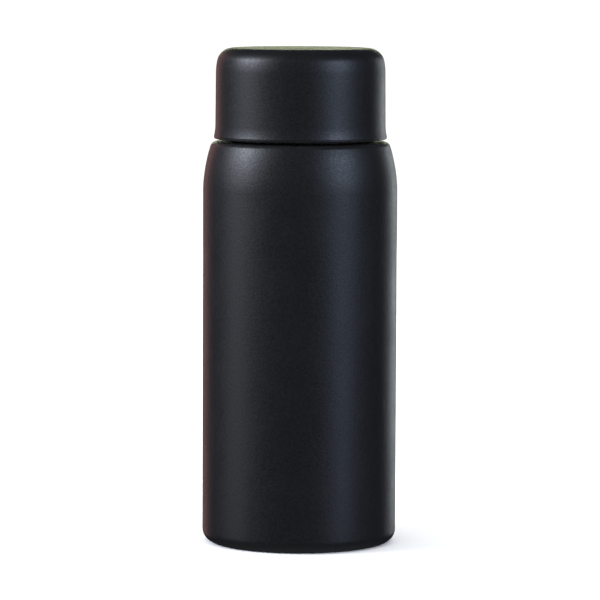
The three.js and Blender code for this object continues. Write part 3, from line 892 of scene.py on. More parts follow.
def finished(
    mesh: bmesh.types.BMesh, name: str, finish: Finish, body: str | None, node: str
) -> bpy.types.Object:
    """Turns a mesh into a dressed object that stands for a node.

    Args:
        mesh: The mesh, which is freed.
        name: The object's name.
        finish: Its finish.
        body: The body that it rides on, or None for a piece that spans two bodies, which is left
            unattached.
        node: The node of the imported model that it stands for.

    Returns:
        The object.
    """
    data = bpy.data.meshes.new(name)
    mesh.to_mesh(data)
    mesh.free()
    data.shade_smooth()
    data.set_sharp_from_angle(angle=SHARP_ANGLE)
    data.materials.append(finish.material())
    made = bpy.data.objects.new(name, data)
    bpy.context.scene.collection.objects.link(made)
    if body:
        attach(made, body)
    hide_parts(node)
    LOG.info("%s: %d faces, for %s", name, len(data.polygons), node)
    return made


def ring(inner: float, span: Span, leg: float = 0.0, facets: Facets = Facets.LARGE) -> Turning:
    """A ring of rectangular section.

    Args:
        inner: Inner radius.
        span: Outer radius and heights.
        leg: Rounding of its corners.
        facets: How finely it is divided.

    Returns:
        The ring, spun.
    """
    section = ((inner, span.bottom), (span.radius, span.bottom), (span.radius, span.top), (inner, span.top))
    return Turning([Corner(r, z, leg) for r, z in section], facets).spin()


def disc(span: Span, lower: float, upper: float, facets: Facets = Facets.LARGE) -> Turning:
    """A plain disc with rounded edges.

    Args:
        span: Its radius and heights.
        lower: Rounding of the lower edge.
        upper: Rounding of the upper edge.
        facets: How finely it is divided.

    Returns:
        The disc, spun.
    """
    outline = [
        Corner(0, span.bottom),
        Corner(span.radius, span.bottom, lower),
        Corner(span.radius, span.top, upper),
        Corner(0, span.top),
    ]
    return Turning(outline, facets).spin()


@dataclass(frozen=True)
class Sweep:
    """Two tangent arcs that turn a wall in towards the axis: a long one and then a short one.

    Attributes:
        radius: The wall's radius.
        top: Height of the flat that the short arc ends on.
        flat: Radius where that flat starts, or None where the turn of the long arc is given.
        long: Radius of the long arc.
        short: Radius of the short arc.
        turn: Turn of the long arc, where flat is None.
    """

    radius: float
    top: float
    long: float
    short: float
    flat: float | None = None
    turn: float = 0.0

    def corners(self, inset: float) -> list[Corner]:
        """The two rounded corners of the curve, or of one set in from it.

        Args:
            inset: How far it is set in.

        Returns:
            The corners, from the wall up.
        """
        centre = self.radius - self.long
        reach = self.long - self.short
        turn = self.turn if self.flat is None else math.acos((self.flat - centre) / reach)
        base = self.top - self.short - reach * math.sin(turn)
        long, short = self.long - inset, self.short - inset
        first = long * math.tan(turn / 2)
        second = short * math.tan((math.pi / 2 - turn) / 2)
        meet_radius = centre + long * math.cos(turn) - second * math.sin(turn)
        meet_height = base + long * math.sin(turn) + second * math.cos(turn)
        return [
            Corner(self.radius - inset, base + first, first),
            Corner(meet_radius, meet_height, second),
        ]


@dataclass(frozen=True)
class NeckFits:
    """Radii that the cup, collar, neck and stopper share, from the cup's liner inwards."""

    liner_wall: float = 1.55
    thread_depth: float = 1.0
    thread_clearance: float = 0.3
    collar_wall: float = 1.5
    neck_gap: float = 0.5
    skirt_wall: float = 2.4
    grip_wall: float = 1.5
    seat_step: float = 0.74
    collar_thread_drop: float = 1.5  # from the collar's top to its thread's upper end
    neck_thread_drop: float = 2.5  # from the neck's rim to its thread's upper end

    @property
    def liner_inner(self) -> float:
        """Inside of the cup's liner."""
        return Span.of("cup_liner").radius - self.liner_wall

    @property
    def collar_outer(self) -> float:
        """Wall of the collar that its thread stands on."""
        return self.liner_inner - self.thread_depth - self.thread_clearance

    @property
    def collar_inner(self) -> float:
        """Inside of the collar."""
        return self.collar_outer - self.collar_wall

    @property
    def neck_outer(self) -> float:
        """Outside of the casing's neck tube."""
        return self.collar_inner - FIT

    @property
    def mouth(self) -> float:
        """Inside of the inner bottle's neck."""
        return self.neck_outer - 2 * STEEL_WALL - self.neck_gap

    @property
    def stopper(self) -> float:
        """Skirt of the stopper, under its thread."""
        return self.mouth - self.thread_depth - self.thread_clearance

    @property
    def stopper_inner(self) -> float:
        """Inside of the stopper's skirt."""
        return self.stopper - self.skirt_wall

    @property
    def collar_thread(self) -> float:
        """Height of the middle of the collar thread's lower end."""
        return Span.of("neck_collar").top - self.collar_thread_drop - self._rise

    @property
    def neck_thread(self) -> float:
        """Height of the middle of the neck thread's lower end."""
        return Span.of("inner_bottle").top - self.neck_thread_drop - self._rise

    @property
    def _rise(self) -> float:
        """Rise of one ridge from end to end."""
        probe = QuickThread(self.mouth, 0.0, Side.INWARDS)
        return probe.lead * probe.span / FULL_TURN

    @property
    def half_pitch(self) -> float:
        """Half the distance between neighbouring ridges."""
        probe = QuickThread(self.mouth, 0.0, Side.INWARDS)
        return probe.lead / probe.starts / 2


FITS = NeckFits()


# ---------------------------------------------------------------- sub-assemblies


@dataclass(frozen=True)
class SteelBody:
    """The casing, the inner bottle, what is between them, and the collar on the neck."""

    base_corner: float = 4.2
    foot_width: float = 2.3
    shoulder_radius: float = 45.0
    shoulder_fillet: float = 2.0
    shoulder_flat: float = 28.58
    floor_corner: float = 9.0
    bottle_slope: float = math.radians(60)
    seat_to_thread: float = 2.82
    foil_thickness: float = 0.2
    pump_hole: float = 1.2
    getter_wall: float = 0.3
    cone_slope: float = 1.5  # width of the plate's cone for each millimetre that it rises
    cover_step: float = 0.18
    cover_rings: tuple[float, float] = (0.32, 0.84)  # shares of the cover's radius

    body: ClassVar[str] = "flask"

    def build(self) -> None:
        """Builds every piece of the sub-assembly."""
        self.casing()
        self.bottle()
        self.vacuum_pieces()
        self.base()
        self.collar()

    @property
    def foot_inner(self) -> float:
        """Inner radius of the ring that the flask stands on."""
        return Span.of("outer_shell").radius - self.base_corner - self.foot_width

    def _casing_face(self, inset: float) -> list[Corner]:
        """One face of the casing, from the foot up.

        Args:
            inset: How far it is set in from the outside.

        Returns:
            Its corners.
        """
        span = Span.of("outer_shell")
        shoulder_top = Span.of("neck_collar").bottom - FIT
        sweep = Sweep(
            span.radius, shoulder_top, self.shoulder_radius, self.shoulder_fillet, self.shoulder_flat
        )
        return [
            Corner(self.foot_inner, inset, 0.12),
            Corner(span.radius - inset, inset, self.base_corner - inset),
            *sweep.corners(inset),
            Corner(FITS.neck_outer - inset, shoulder_top - inset, 0.15),
            Corner(FITS.neck_outer - inset, span.top, 0.12),
        ]

    def casing(self) -> None:
        """Coated casing: wall, shoulder and neck tube."""
        outline = [*self._casing_face(0), *reversed(self._casing_face(STEEL_WALL))]
        Turning(outline).spin().piece("casing", COAT, self.body, "outer_shell")

    def _bottle_face(self, inset: float) -> list[Corner]:
        """One face of the inner bottle, from the middle of its floor to its thread.

        Args:
            inset: How far it is set in from the vacuum side.

        Returns:
            Its corners.
        """
        span, seal = Span.of("inner_bottle"), Span.of("stopper_lower_seal")
        neck = FITS.mouth + STEEL_WALL
        seat = neck - FITS.seat_step
        seat_bottom = seal.bottom - FIT
        swing = (span.radius - seat) / (1 - math.cos(self.bottle_slope))
        convex = swing * 2 / 3 - inset
        concave = swing / 3 + inset
        lean = math.tan(self.bottle_slope / 2)
        shoulder = seat_bottom - swing * math.sin(self.bottle_slope)
        seat_top = FITS.neck_thread - FITS.half_pitch - self.seat_to_thread
        return [
            Corner(0, span.bottom + inset),
            Corner(span.radius - inset, span.bottom + inset, self.floor_corner - inset),
            Corner(span.radius - inset, shoulder + convex * lean, convex * lean),
            Corner(seat - inset, seat_bottom - concave * lean, concave * lean),
            Corner(seat - inset, seat_top - FITS.seat_step, 0.3),
            Corner(neck - inset, seat_top, 0.3),
        ]

    def bottle(self) -> None:
        """Polished inner bottle, with the rolled thread for the stopper."""
        rim = Span.of("inner_bottle").top
        neck = FITS.mouth + STEEL_WALL
        outline = [
            *self._bottle_face(0),
            Corner(neck, rim - STEEL_WALL, 0.1),
            Corner(FITS.neck_outer, rim - STEEL_WALL, 0.15),
            Corner(FITS.neck_outer, rim, 0.24),
            Corner(FITS.mouth, rim, 0.4),
            *reversed(self._bottle_face(STEEL_WALL)),
        ]
        thread = QuickThread(FITS.mouth, FITS.neck_thread, Side.INWARDS)
        Turning(outline).spin(thread).piece("bottle", POLISHED, self.body, "inner_bottle")

    def vacuum_pieces(self) -> None:
        """Foil and getter, in the vacuum."""
        foil = Span.of("copper_foil")
        sleeve = ring(foil.radius - self.foil_thickness, foil, 0.05)
        sleeve.piece("foil", CopperFoil(), self.body, "copper_foil")
        cup, pellet = Span.of("getter_cup"), Span.of("getter_pellet")
        wall, inner = self.getter_wall, cup.radius - self.getter_wall
        holder = [
            Corner(0, cup.top),
            Corner(cup.radius, cup.top, 0.25),
            Corner(cup.radius, cup.bottom, 0.1),
            Corner(inner, cup.bottom, 0.1),
            Corner(inner, cup.top - wall, 0.1),
            Corner(0, cup.top - wall),
        ]
        Turning(holder, Facets.SMALL).spin().piece("getter_holder", DRAWN, self.body, "getter_cup")
        tablet = disc(pellet, 0.2, 0.2, Facets.SMALL)
        tablet.piece("getter", Sinter(), self.body, "getter_pellet")

    def base(self) -> None:
        """Plate, solder plug and the cover inside the foot ring."""
        plate = Span.of("base_plate")
        rise = plate.top - plate.bottom - STEEL_WALL
        cone = self.foot_inner - self.cone_slope * rise

        def face(lift: float) -> list[Corner]:
            """One face of the plate, lifted by its thickness or not at all."""
            return [
                Corner(plate.radius, plate.bottom + lift, 0.1),
                Corner(self.foot_inner, plate.bottom + lift, 0.5),
                Corner(cone, plate.bottom + rise + lift, 0.8),
                Corner(self.pump_hole, plate.bottom + rise + lift, 0.1),
            ]

        outline = [*face(0), *reversed(face(STEEL_WALL))]
        Turning(outline).spin().piece("vacuum_plate", DRAWN, self.body, "base_plate")
        plug = Span.of("solder_plug")
        hole = plug.top - STEEL_WALL - FIT
        bead = [
            Corner(0, plug.bottom),
            Corner(plug.radius, plug.bottom, 1.0),
            Corner(plug.radius, hole, 0.1),
            Corner(self.pump_hole - FIT, hole, 0.1),
            Corner(self.pump_hole - FIT, plug.top, 0.2),
            Corner(0, plug.top),
        ]
        Turning(bead, Facets.SMALL).spin().piece("solder_bead", SolderGlass(), self.body, "solder_plug")
        cover = Span.of("base_cover")
        step = self.cover_step
        first, second = (share * cover.radius for share in self.cover_rings)
        cover_outline = [
            Corner(0, cover.bottom),
            Corner(first, cover.bottom, 0.3),
            Corner(first + 2 * step, cover.bottom + step, 0.3),
            Corner(second, cover.bottom + step, 0.3),
            Corner(second + 2 * step, cover.bottom, 0.3),
            Corner(cover.radius, cover.bottom, 0.16),
            Corner(cover.radius, cover.top, 0.1),
            Corner(0, cover.top),
        ]
        Turning(cover_outline).spin().piece("foot_cover", COAT, self.body, "base_cover")

    def collar(self) -> None:
        """Moulded ring round the neck, with the outer thread."""
        span = Span.of("neck_collar")
        outline = [
            Corner(FITS.collar_inner, span.bottom, 0.15),
            Corner(FITS.collar_outer, span.bottom, 0.3),
            Corner(FITS.collar_outer, span.top, 0.4),
            Corner(FITS.collar_inner, span.top, 0.2),
        ]
        thread = QuickThread(FITS.collar_outer, FITS.collar_thread, Side.OUTWARDS)
        Turning(outline).spin(thread).piece("collar", BLACK, self.body, "neck_collar")


@dataclass(frozen=True)
class Cup:
    """The drinking cup that caps the flask."""

    lip_flare: float = 0.44
    lip_flare_height: float = 3.7
    lip_edge: float = 0.5
    draft: float = 0.16
    top_curve: float = 16.5
    top_lean: float = math.radians(14)
    corner: float = 5.0
    crown: float = 0.3
    liner_corner: float = 5.0
    ceiling: float = 1.4
    ceiling_dish: float = 0.25
    ceiling_dish_share: float = 0.3  # of the liner's inner radius
    seal_bite: float = 0.55

    body: ClassVar[str] = "cup"

    def build(self) -> None:
        """Builds every piece of the sub-assembly."""
        self.shell()
        self.liner()
        self.pad()
        self.seal()

    def shell(self) -> None:
        """Coated shell with the flared lip."""
        span = Span.of("cup_shell")
        side = span.radius - self.lip_flare
        flare_radius = (self.lip_flare_height**2 + self.lip_flare**2) / (2 * self.lip_flare)
        flare = flare_radius * math.tan(math.asin(self.lip_flare_height / flare_radius) / 2)
        bead_top = span.bottom + 2 * self.lip_edge
        edge = span.top - self.crown
        sweep = Sweep(side - self.draft, edge, self.top_curve, self.corner, turn=self.top_lean)
        outside, inside = sweep.corners(0), sweep.corners(STEEL_WALL)
        middle = 0.5 * outside[1].radius
        inner_lip = span.radius - 2 * self.lip_edge
        outline = [
            Corner(0, span.top),
            Corner(middle, span.top - 0.25 * self.crown, 0.3 * middle),
            *reversed(outside),
            Corner(side, bead_top + self.lip_flare_height - flare, flare),
            Corner(span.radius, bead_top, 0.3),
            Corner(span.radius, span.bottom, self.lip_edge),
            Corner(inner_lip, span.bottom, self.lip_edge - 0.02),
            Corner(inner_lip, bead_top, 0.2),
            Corner(side - STEEL_WALL, bead_top + self.lip_flare_height, 0.5),
            *inside,
            Corner(0, span.top - STEEL_WALL),
        ]
        Turning(outline).spin().piece("cup_outside", COAT, self.body, "cup_shell")

    def liner(self) -> None:
        """Moulded inside of the cup, with its thread and the groove of the seal."""
        span, seal = Span.of("cup_liner"), Span.of("cup_seal_ring")
        wall, groove = FITS.liner_inner, seal.radius + FIT
        ceiling = span.top - self.ceiling
        dish = self.ceiling_dish_share * wall
        outline = [
            Corner(0, span.top),
            Corner(span.radius, span.top, self.liner_corner),
            Corner(span.radius, span.bottom, 0.3),
            Corner(wall, span.bottom, 0.5),
            Corner(wall, seal.bottom - FIT, 0.12),
            Corner(groove, seal.bottom - FIT, 0.1),
            Corner(groove, seal.top + FIT, 0.1),
            Corner(wall, seal.top + FIT, 0.12),
            Corner(wall, ceiling, self.liner_corner - FITS.liner_wall),
            Corner(dish, ceiling, 0.3),
            Corner(dish - self.ceiling_dish, ceiling + self.ceiling_dish, 0.2),
            Corner(0, ceiling + self.ceiling_dish),
        ]
        thread = QuickThread(wall, FITS.collar_thread - FITS.half_pitch, Side.INWARDS)
        Turning(outline).spin(thread).piece("cup_inside", BLACK, self.body, "cup_liner")

    def pad(self) -> None:
        """Insulating pad between liner and shell."""
        disc(Span.of("cup_foam_disc"), 0.2, 0.2).piece("cup_pad", FOAM, self.body, "cup_foam_disc")

    def seal(self) -> None:
        """Soft ring that lands on the collar."""
        inner = FITS.collar_outer - self.seal_bite
        ring(inner, Span.of("cup_seal_ring"), 0.45).piece("cup_seal", SILICONE, "cup_ring", "cup_seal_ring")


@dataclass(frozen=True)
class Stopper:
    """The screw-in stopper: its body, insulation, cover and seals."""

    bore: float = 6.5
    tube_wall: float = 1.5
    floor: float = 1.8
    flange_plate: float = 1.2
    spout_height: float = 3.2
    spout_width: float = 14.0
    lower_seal_depth: float = 1.15
    flange_seal_width: float = 2.1
    cover_edge: float = 0.9
    plug_wall: float = 1.2
    plug_depth: float = 1.6
    well_wall: float = 1.2
    well_floor: float = 2.6
    stem: float = 2.0
    stem_gland: float = 0.85
    flute_height: float = 4.6
    flange_lap: float = 0.65  # how far the flange's foot stands above the seal's
    flute_start: float = 0.45  # from the flange's foot
    tube_lap: float = 0.75  # how far the tube stands into the foam's cap
    cap_step: float = 1.0
    lip_width: float = 0.4
    well_lip: tuple[float, float] = (1.2, 0.5)  # width and depth of the lead-in to the well

    body: ClassVar[str] = "stopper"

    def build(self) -> None:
        """Builds every piece of the sub-assembly."""
        self.moulding()
        self.insulation()
        self.cover()
        self.seals()

    @property
    def grip_inner(self) -> float:
        """Inside of the grip."""
        return Span.of("stopper_body").radius - FITS.grip_wall

    def moulding(self) -> None:
        """Threaded body with grip, pouring tube and spout."""
        nodes = ("stopper_body", "stopper_lower_seal", "stopper_flange_seal")
        span, low, flange = (Span.of(n) for n in nodes)
        tube = self.bore + self.tube_wall
        groove = low.radius - self.lower_seal_depth - FIT
        ledge = span.top - self.spout_height
        pocket_top = flange.top + FIT
        pocket_inner = flange.radius - self.flange_seal_width - FIT
        pocket_outer = flange.radius + FIT
        flange_bottom = flange.bottom + self.flange_lap
        floor_top = span.bottom + self.floor
        tube_top = Span.of("foam_cap").bottom + self.tube_lap
        outline = [
            Corner(self.bore, span.bottom, 0.15),
            Corner(FITS.stopper, span.bottom, 0.5),
            Corner(FITS.stopper, low.bottom - FIT, 0.12),
            Corner(groove, low.bottom - FIT, 0.1),
            Corner(groove, low.top + FIT, 0.1),
            Corner(FITS.stopper, low.top + FIT, 0.12),
            Corner(FITS.stopper, pocket_top - self.flange_plate, 0.3),
            Corner(pocket_inner, pocket_top - self.flange_plate, 0.1),
            Corner(pocket_inner, pocket_top, 0.1),
            Corner(pocket_outer, pocket_top, 0.1),
            Corner(pocket_outer, flange_bottom, 0.08),
            Corner(span.radius, flange_bottom, 0.1),
            Corner(span.radius, flange_bottom + 0.5),
            Corner(span.radius, ledge),
            Corner(span.radius, span.top, 0.12),
            Corner(self.grip_inner, span.top, 0.12),
            Corner(self.grip_inner, ledge),
            Corner(FITS.stopper_inner, ledge, 0.4),
            Corner(FITS.stopper_inner, floor_top, 0.3),
            Corner(tube, floor_top, 0.3),
            Corner(tube, tube_top, 0.2),
            Corner(self.bore, tube_top, 0.2),
        ]
        thread = QuickThread(FITS.stopper, FITS.neck_thread - FITS.half_pitch, Side.OUTWARDS)
        flute_low = flange_bottom + self.flute_start
        flutes = Flutes(span.radius, flute_low, flute_low + self.flute_height)
        body = Turning(outline).spin(thread, flutes)
        body.notch(self.grip_inner, span.radius, ledge, span.top, self.spout_width)
        body.piece("stopper_moulding", BLACK, self.body, "stopper_body")

    def insulation(self) -> None:
        """Foam round the tube, and the cap that keeps it in."""
        foam, cap = Span.of("stopper_foam"), Span.of("foam_cap")
        tube = self.bore + self.tube_wall + FIT
        ring(tube, foam, 0.3).piece("stopper_filling", FOAM, self.body, "stopper_foam")
        step = cap.bottom + self.cap_step
        outline = [
            Corner(self.bore, step, 0.1),
            Corner(self.bore, cap.top, 0.4),
            Corner(cap.radius, cap.top, 0.2),
            Corner(cap.radius, cap.bottom, 0.2),
            Corner(tube, cap.bottom, 0.1),
            Corner(tube, step, 0.1),
        ]
        Turning(outline).spin().piece("chamber_floor", BLACK, self.body, "foam_cap")

    def cover(self) -> None:
        """Top cover with its locating plug and the button's well."""
        span, button = Span.of("stopper_cover"), Span.of("push_button")
        under = Span.of("stopper_body").top + FIT
        plug = self.grip_inner - FIT
        well = button.radius + FIT
        bore = self.stem + FIT
        lip_width, lip_depth = self.well_lip
        floor_top = span.bottom + self.well_floor
        seal_middle = span.bottom + self.well_floor / 2
        gland = self.stem + 2 * self.stem_gland
        outline = [
            Corner(bore, span.bottom, 0.2),
            Corner(well + self.well_wall, span.bottom, 0.5),
            Corner(well + self.well_wall, under, 0.3),
            Corner(plug - self.plug_wall, under),
            Corner(plug - self.plug_wall, under - self.plug_depth, 0.2),
            Corner(plug, under - self.plug_depth, 0.3),
            Corner(plug, under),
            Corner(span.radius, under, 0.15),
            Corner(span.radius, span.top, self.cover_edge),
            Corner(well + lip_width, span.top, 0.5),
            Corner(well, span.top - lip_depth, 0.3),
            Corner(well, floor_top, 0.3),
            Corner(bore, floor_top, 0.2),
            Corner(bore, seal_middle + self.stem_gland),
            Corner(gland, seal_middle + self.stem_gland),
            Corner(gland, seal_middle - self.stem_gland),
            Corner(bore, seal_middle - self.stem_gland),
        ]
        top = Turning(outline).spin()
        top.notch(plug - self.plug_wall, plug, under, under - self.plug_depth, self.spout_width)
        top.piece("stopper_top", BLACK, self.body, "stopper_cover")

    def seals(self) -> None:
        """Flange seal, lower seal and the stem's ring."""
        nodes = ("stopper_flange_seal", "stopper_lower_seal", "stem_seal")
        flange, low, stem = (Span.of(n) for n in nodes)
        rim_seal = ring(flange.radius - self.flange_seal_width, flange, 0.4)
        rim_seal.piece("flange_seal", SILICONE, "stopper_ring", "stopper_flange_seal")
        inner, middle = low.radius - self.lower_seal_depth, (low.bottom + low.top) / 2
        lip = [
            Corner(inner, low.bottom, 0.15),
            Corner(low.radius - self.lip_width, low.bottom, 0.3),
            Corner(low.radius, middle, 0.5),
            Corner(low.radius - self.lip_width, low.top, 0.3),
            Corner(inner, low.top, 0.15),
        ]
        Turning(lip).spin().piece("lower_seal", SILICONE, self.body, "stopper_lower_seal")
        wire = (stem.top - stem.bottom) / 2
        ring(stem.radius - 2 * wire, stem, wire - 0.01, Facets.SMALL).piece(
            "stem_ring", SILICONE, self.body, "stem_seal"
        )


@dataclass(frozen=True)
class PushValve:
    """Button, stem, valve and the spring that closes it."""

    button_wall: float = 1.2
    dish: float = 0.5
    rings: tuple[float, float] = (2.6, 4.6)  # inner radius of each ring on the top
    ring_profile: tuple[tuple[float, float], ...] = ((0.0, 0.0), (0.3, 0.16), (0.7, 0.16), (1.0, 0.0))
    rim: float = 1.6
    boss_wall: float = 1.15
    socket_depth: float = 3.3
    socket: float = 2.25
    spring_radius: float = 4.8
    spring_wire: float = 0.4
    spring_ends: float = 0.75
    spring_coils: float = 3.5
    spring_steps: int = 40  # in each coil
    closed_pitch: float = 2.1  # of a closed coil, in wire radii
    hub_wall: float = 0.95
    head_height: float = 3.2

    body: ClassVar[str] = "valve"

    def build(self) -> None:
        """Builds every piece of the sub-assembly."""
        self.button()
        self.spring()
        self.stem()
        self.head()

    def button(self) -> None:
        """Push button with a dished, ringed top and a socket for the stem."""
        span = Span.of("push_button")
        ceiling = span.top - self.dish - self.button_wall
        inner, boss = span.radius - self.button_wall, self.socket + self.boss_wall
        ridges = [(start + across, lift) for start in self.rings for across, lift in self.ring_profile]
        outline = [
            Corner(0, span.top - self.dish),
            *(Corner(r, span.top - self.dish * (1 - r / span.radius) + up, 0.12) for r, up in ridges),
            Corner(span.radius - self.rim, span.top, 0.6),
            Corner(span.radius, span.top, 0.45),
            Corner(span.radius, span.bottom, 0.2),
            Corner(inner, span.bottom, 0.2),
            Corner(inner, ceiling, 0.4),
            Corner(boss, ceiling, 0.2),
            Corner(boss, ceiling - FIT - self.socket_depth, 0.2),
            Corner(self.socket, ceiling - FIT - self.socket_depth, 0.2),
            Corner(self.socket, ceiling),
            Corner(0, ceiling),
        ]
        Turning(outline).spin().piece("button", GREY, self.body, "push_button")

    def spring(self) -> None:
        """Return spring, wound as one wire with closed ends."""
        low, high = (c.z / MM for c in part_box("button_spring"))
        wire = self.spring_wire
        mesh = bmesh.new()
        section = bmesh.ops.create_circle(mesh, radius=wire * MM, segments=12)["verts"]
        stand = Matrix.Translation(Vector((self.spring_radius, 0, low + wire)) * MM)
        bmesh.ops.transform(mesh, verts=section, matrix=stand @ Matrix.Rotation(math.pi / 2, 4, "X"))
        closed = self.closed_pitch * wire
        open_pitch = (high - low - 2 * wire - 2 * self.spring_ends * closed) / self.spring_coils
        last = mesh.verts[:] + mesh.edges[:]
        runs = ((self.spring_ends, closed), (self.spring_coils, open_pitch), (self.spring_ends, closed))
        for turns, pitch in runs:
            steps = round(self.spring_steps * turns)
            last = bmesh.ops.spin(
                mesh,
                geom=last,
                cent=(0, 0, 0),
                axis=(0, 0, 1),
                dvec=(0, 0, pitch * MM * turns / steps),
                angle=FULL_TURN * turns,
                steps=steps,
            )["geom_last"]
        bmesh.ops.remove_doubles(mesh, verts=mesh.verts, dist=MERGE)
        bmesh.ops.holes_fill(mesh, edges=[e for e in mesh.edges if e.is_boundary], sides=0)
        bmesh.ops.recalc_face_normals(mesh, faces=mesh.faces)
        coil = finished(mesh, "return_spring", DRAWN, None, "button_spring")
        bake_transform(coil)

    def stem(self) -> None:
        """Rod from the button to the valve."""
        disc(Span.of("valve_stem"), 0.3, 0.3, Facets.SMALL).piece("stem", GREY, self.body, "valve_stem")

    def head(self) -> None:
        """Valve disc, and the washer that closes on the stopper's bore."""
        head, washer = Span.of("valve_head"), Span.of("valve_seal")
        disc_top = head.bottom + self.head_height
        hub = self.socket + self.hub_wall
        socket_floor = head.bottom + self.head_height / 2 - FIT
        outline = [
            Corner(0, head.bottom),
            Corner(head.radius, head.bottom, 0.8),
            Corner(head.radius, disc_top, 0.15),
            Corner(hub, disc_top, 0.1),
            Corner(hub, head.top, 0.2),
            Corner(self.socket, head.top, 0.2),
            Corner(self.socket, socket_floor),
            Corner(0, socket_floor),
        ]
        Turning(outline, Facets.SMALL).spin().piece("valve_disc", GREY, self.body, "valve_head")
        seal = ring(hub + FIT, washer, 0.3, Facets.SMALL)
        seal.piece("valve_washer", SILICONE, self.body, "valve_seal")


# ---------------------------------------------------------------- studio


@dataclass(frozen=True)
class Softbox:
    """A rectangular studio light that faces the flask.

    Attributes:
        azimuth: Degrees round from the camera's side, positive to the right.
        elevation: Degrees above the flask's middle.
        distance: Metres from it.
        width: Metres across.
        height: Metres tall.
        power: Watts.
        colour: Colour of the light.
    """

    azimuth: float
    elevation: float
    distance: float
    width: float
    height: float
    power: float
    colour: tuple[float, float, float] = (1.0, 1.0, 1.0)

    def hang(self, name: str, target: Vector) -> None:
        """Puts the light in the scene.

        Args:
            name: The light's name.
            target: The point that it faces.
        """
        lamp = bpy.data.lights.new(name, "AREA")
        lamp.shape = "RECTANGLE"
        lamp.size, lamp.size_y = self.width, self.height
        lamp.energy, lamp.color = self.power, self.colour
        made = bpy.data.objects.new(name, lamp)
        side, rise = math.radians(self.azimuth), math.radians(self.elevation)
        away = Vector((math.sin(side) * math.cos(rise), -math.cos(side) * math.cos(rise), math.sin(rise)))
        made.location = target + away * self.distance
        made.rotation_euler = away.to_track_quat("Z", "Y").to_euler()
        made.visible_camera = False
        bpy.context.scene.collection.objects.link(made)


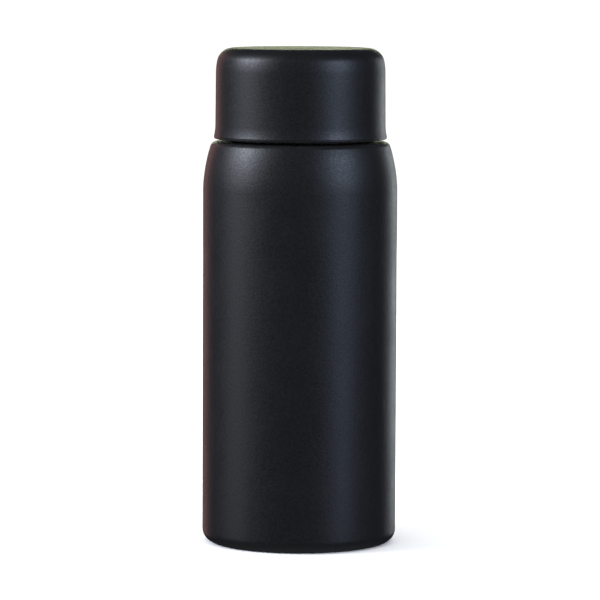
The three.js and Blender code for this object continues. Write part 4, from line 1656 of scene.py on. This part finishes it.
@dataclass(frozen=True)
class Studio:
    """Floor, surroundings, lights and camera.

    Attributes:
        distance: Metres from the flask's axis to the camera.
        height: Metres from the floor to the camera.
        offset: Metres that the camera stands to the right.
        pitch: Degrees that it looks down.
        roll: Degrees that it leans.
        lens: Its focal length, in millimetres.
        floor_size: Metres along each side of the floor.
        floor_tone: How light the floor's paper is.
        fill: Strength of the white surroundings.
        glow: What the first reflection shows of them.
        glow_below: What it shows of them from below.
    """

    distance: float = 1.315
    height: float = 0.2059
    offset: float = 0.0001
    pitch: float = 5.36
    roll: float = 0.25
    lens: float = 232.6
    floor_size: float = 300.0
    floor_tone: float = 0.94
    fill: float = 1.16
    glow: tuple[float, float, float] = (0.024, 0.026, 0.034)
    glow_below: tuple[float, float, float] = (0.2, 0.2, 0.22)

    LIGHTS: ClassVar[dict[str, Softbox]] = {
        "key_softbox": Softbox(-77, 29, 1.0, 0.36, 0.28, 8.8, (0.82, 0.87, 1.0)),
        "key_strip": Softbox(-79, 4, 1.0, 0.44, 0.8, 1.3, (0.82, 0.86, 1.0)),
        "fill_softbox": Softbox(52, 22, 1.0, 0.3, 0.24, 3.3, (0.64, 0.76, 1.0)),
        "fill_strip": Softbox(51, 4, 1.0, 0.26, 0.8, 1.6, (0.58, 0.7, 1.0)),
        "left_rim": Softbox(-150, 2, 1.0, 0.34, 0.8, 0.9, (1.0, 0.52, 0.48)),
        "right_rim": Softbox(146, 0, 1.0, 0.34, 0.5, 1.4, (0.9, 0.96, 1.0)),
        "back_card": Softbox(180, 9, 1.3, 0.6, 0.3, 2.2, (0.9, 1.0, 0.64)),
    }

    def build(self) -> None:
        """Builds the studio."""
        self.lay_floor()
        self.surround()
        low, high = CAD_BOX
        for name, softbox in self.LIGHTS.items():
            softbox.hang(name, (low + high) / 2)
        self.aim_camera()

    def lay_floor(self) -> None:
        """Plain pale floor, open from below."""
        mesh = bmesh.new()
        bmesh.ops.create_grid(mesh, x_segments=1, y_segments=1, size=self.floor_size / 2)
        data = bpy.data.meshes.new("floor")
        mesh.to_mesh(data)
        mesh.free()
        material = bpy.data.materials.new("floor_paper")
        material.use_nodes = True
        material.node_tree.nodes.clear()
        graph = Graph(material.node_tree)
        paper = graph.add("ShaderNodeBsdfDiffuse", {"Color": (*(self.floor_tone,) * 3, 1)})
        through = graph.add("ShaderNodeBsdfTransparent")
        behind = graph.add("ShaderNodeNewGeometry").outputs["Backfacing"]
        both = graph.add("ShaderNodeMixShader", {0: behind, 1: paper.outputs[0], 2: through.outputs[0]})
        graph.add("ShaderNodeOutputMaterial", {"Surface": both.outputs[0]})
        data.materials.append(material)
        floor = bpy.data.objects.new("floor", data)
        floor.visible_glossy = False
        floor.visible_diffuse = False
        bpy.context.scene.collection.objects.link(floor)

    def surround(self) -> None:
        """White surroundings that a first reflection shows only faintly, and a later one in full."""
        world = bpy.data.worlds.new("studio")
        bpy.context.scene.world = world
        world.use_nodes = True
        world.node_tree.nodes.clear()
        graph = Graph(world.node_tree)
        white = graph.add("ShaderNodeBackground", {"Color": (1, 1, 1, 1), "Strength": self.fill})
        way = graph.add("ShaderNodeTexCoord").outputs["Generated"]
        down = graph.remap(graph.add("ShaderNodeSeparateXYZ", {0: way}).outputs[2], -0.5, -0.95, 0, 1)
        glow = graph.blend(down, self.glow, self.glow_below)
        faint = graph.add("ShaderNodeBackground", {"Color": glow, "Strength": 1.0})
        path = graph.add("ShaderNodeLightPath").outputs
        single = graph.maths("LESS_THAN", path["Glossy Depth"], 1.5)
        first = graph.maths("MULTIPLY", path["Is Glossy Ray"], single)
        both = graph.add("ShaderNodeMixShader", {0: first, 1: white.outputs[0], 2: faint.outputs[0]})
        graph.add("ShaderNodeOutputWorld", {"Surface": both.outputs[0]})

    def aim_camera(self) -> None:
        """Long lens, a little above the flask."""
        data = bpy.data.cameras.new("camera")
        data.lens, data.sensor_width = self.lens, 36
        data.clip_start, data.clip_end = 0.05, 2 * self.floor_size
        camera = bpy.data.objects.new("camera", data)
        tilt = Matrix.Rotation(math.radians(90 - self.pitch), 4, "X")
        twist = Matrix.Rotation(math.radians(self.roll), 4, "Z")
        place = Matrix.Translation((self.offset, -self.distance, self.height))
        camera.matrix_world = place @ tilt @ twist
        bpy.context.scene.collection.objects.link(camera)
        bpy.context.scene.camera = camera
        bpy.context.scene.view_settings.view_transform = "Standard"


def main() -> None:
    """Builds the flask and its studio."""
    logging.basicConfig(level=logging.INFO, format="%(name)s: %(message)s")
    Studio().build()
    for assembly in (SteelBody(), Stopper(), PushValve(), Cup()):
        LOG.info("building %s", type(assembly).__name__)
        assembly.build()


if __name__ == "__main__":
    main()
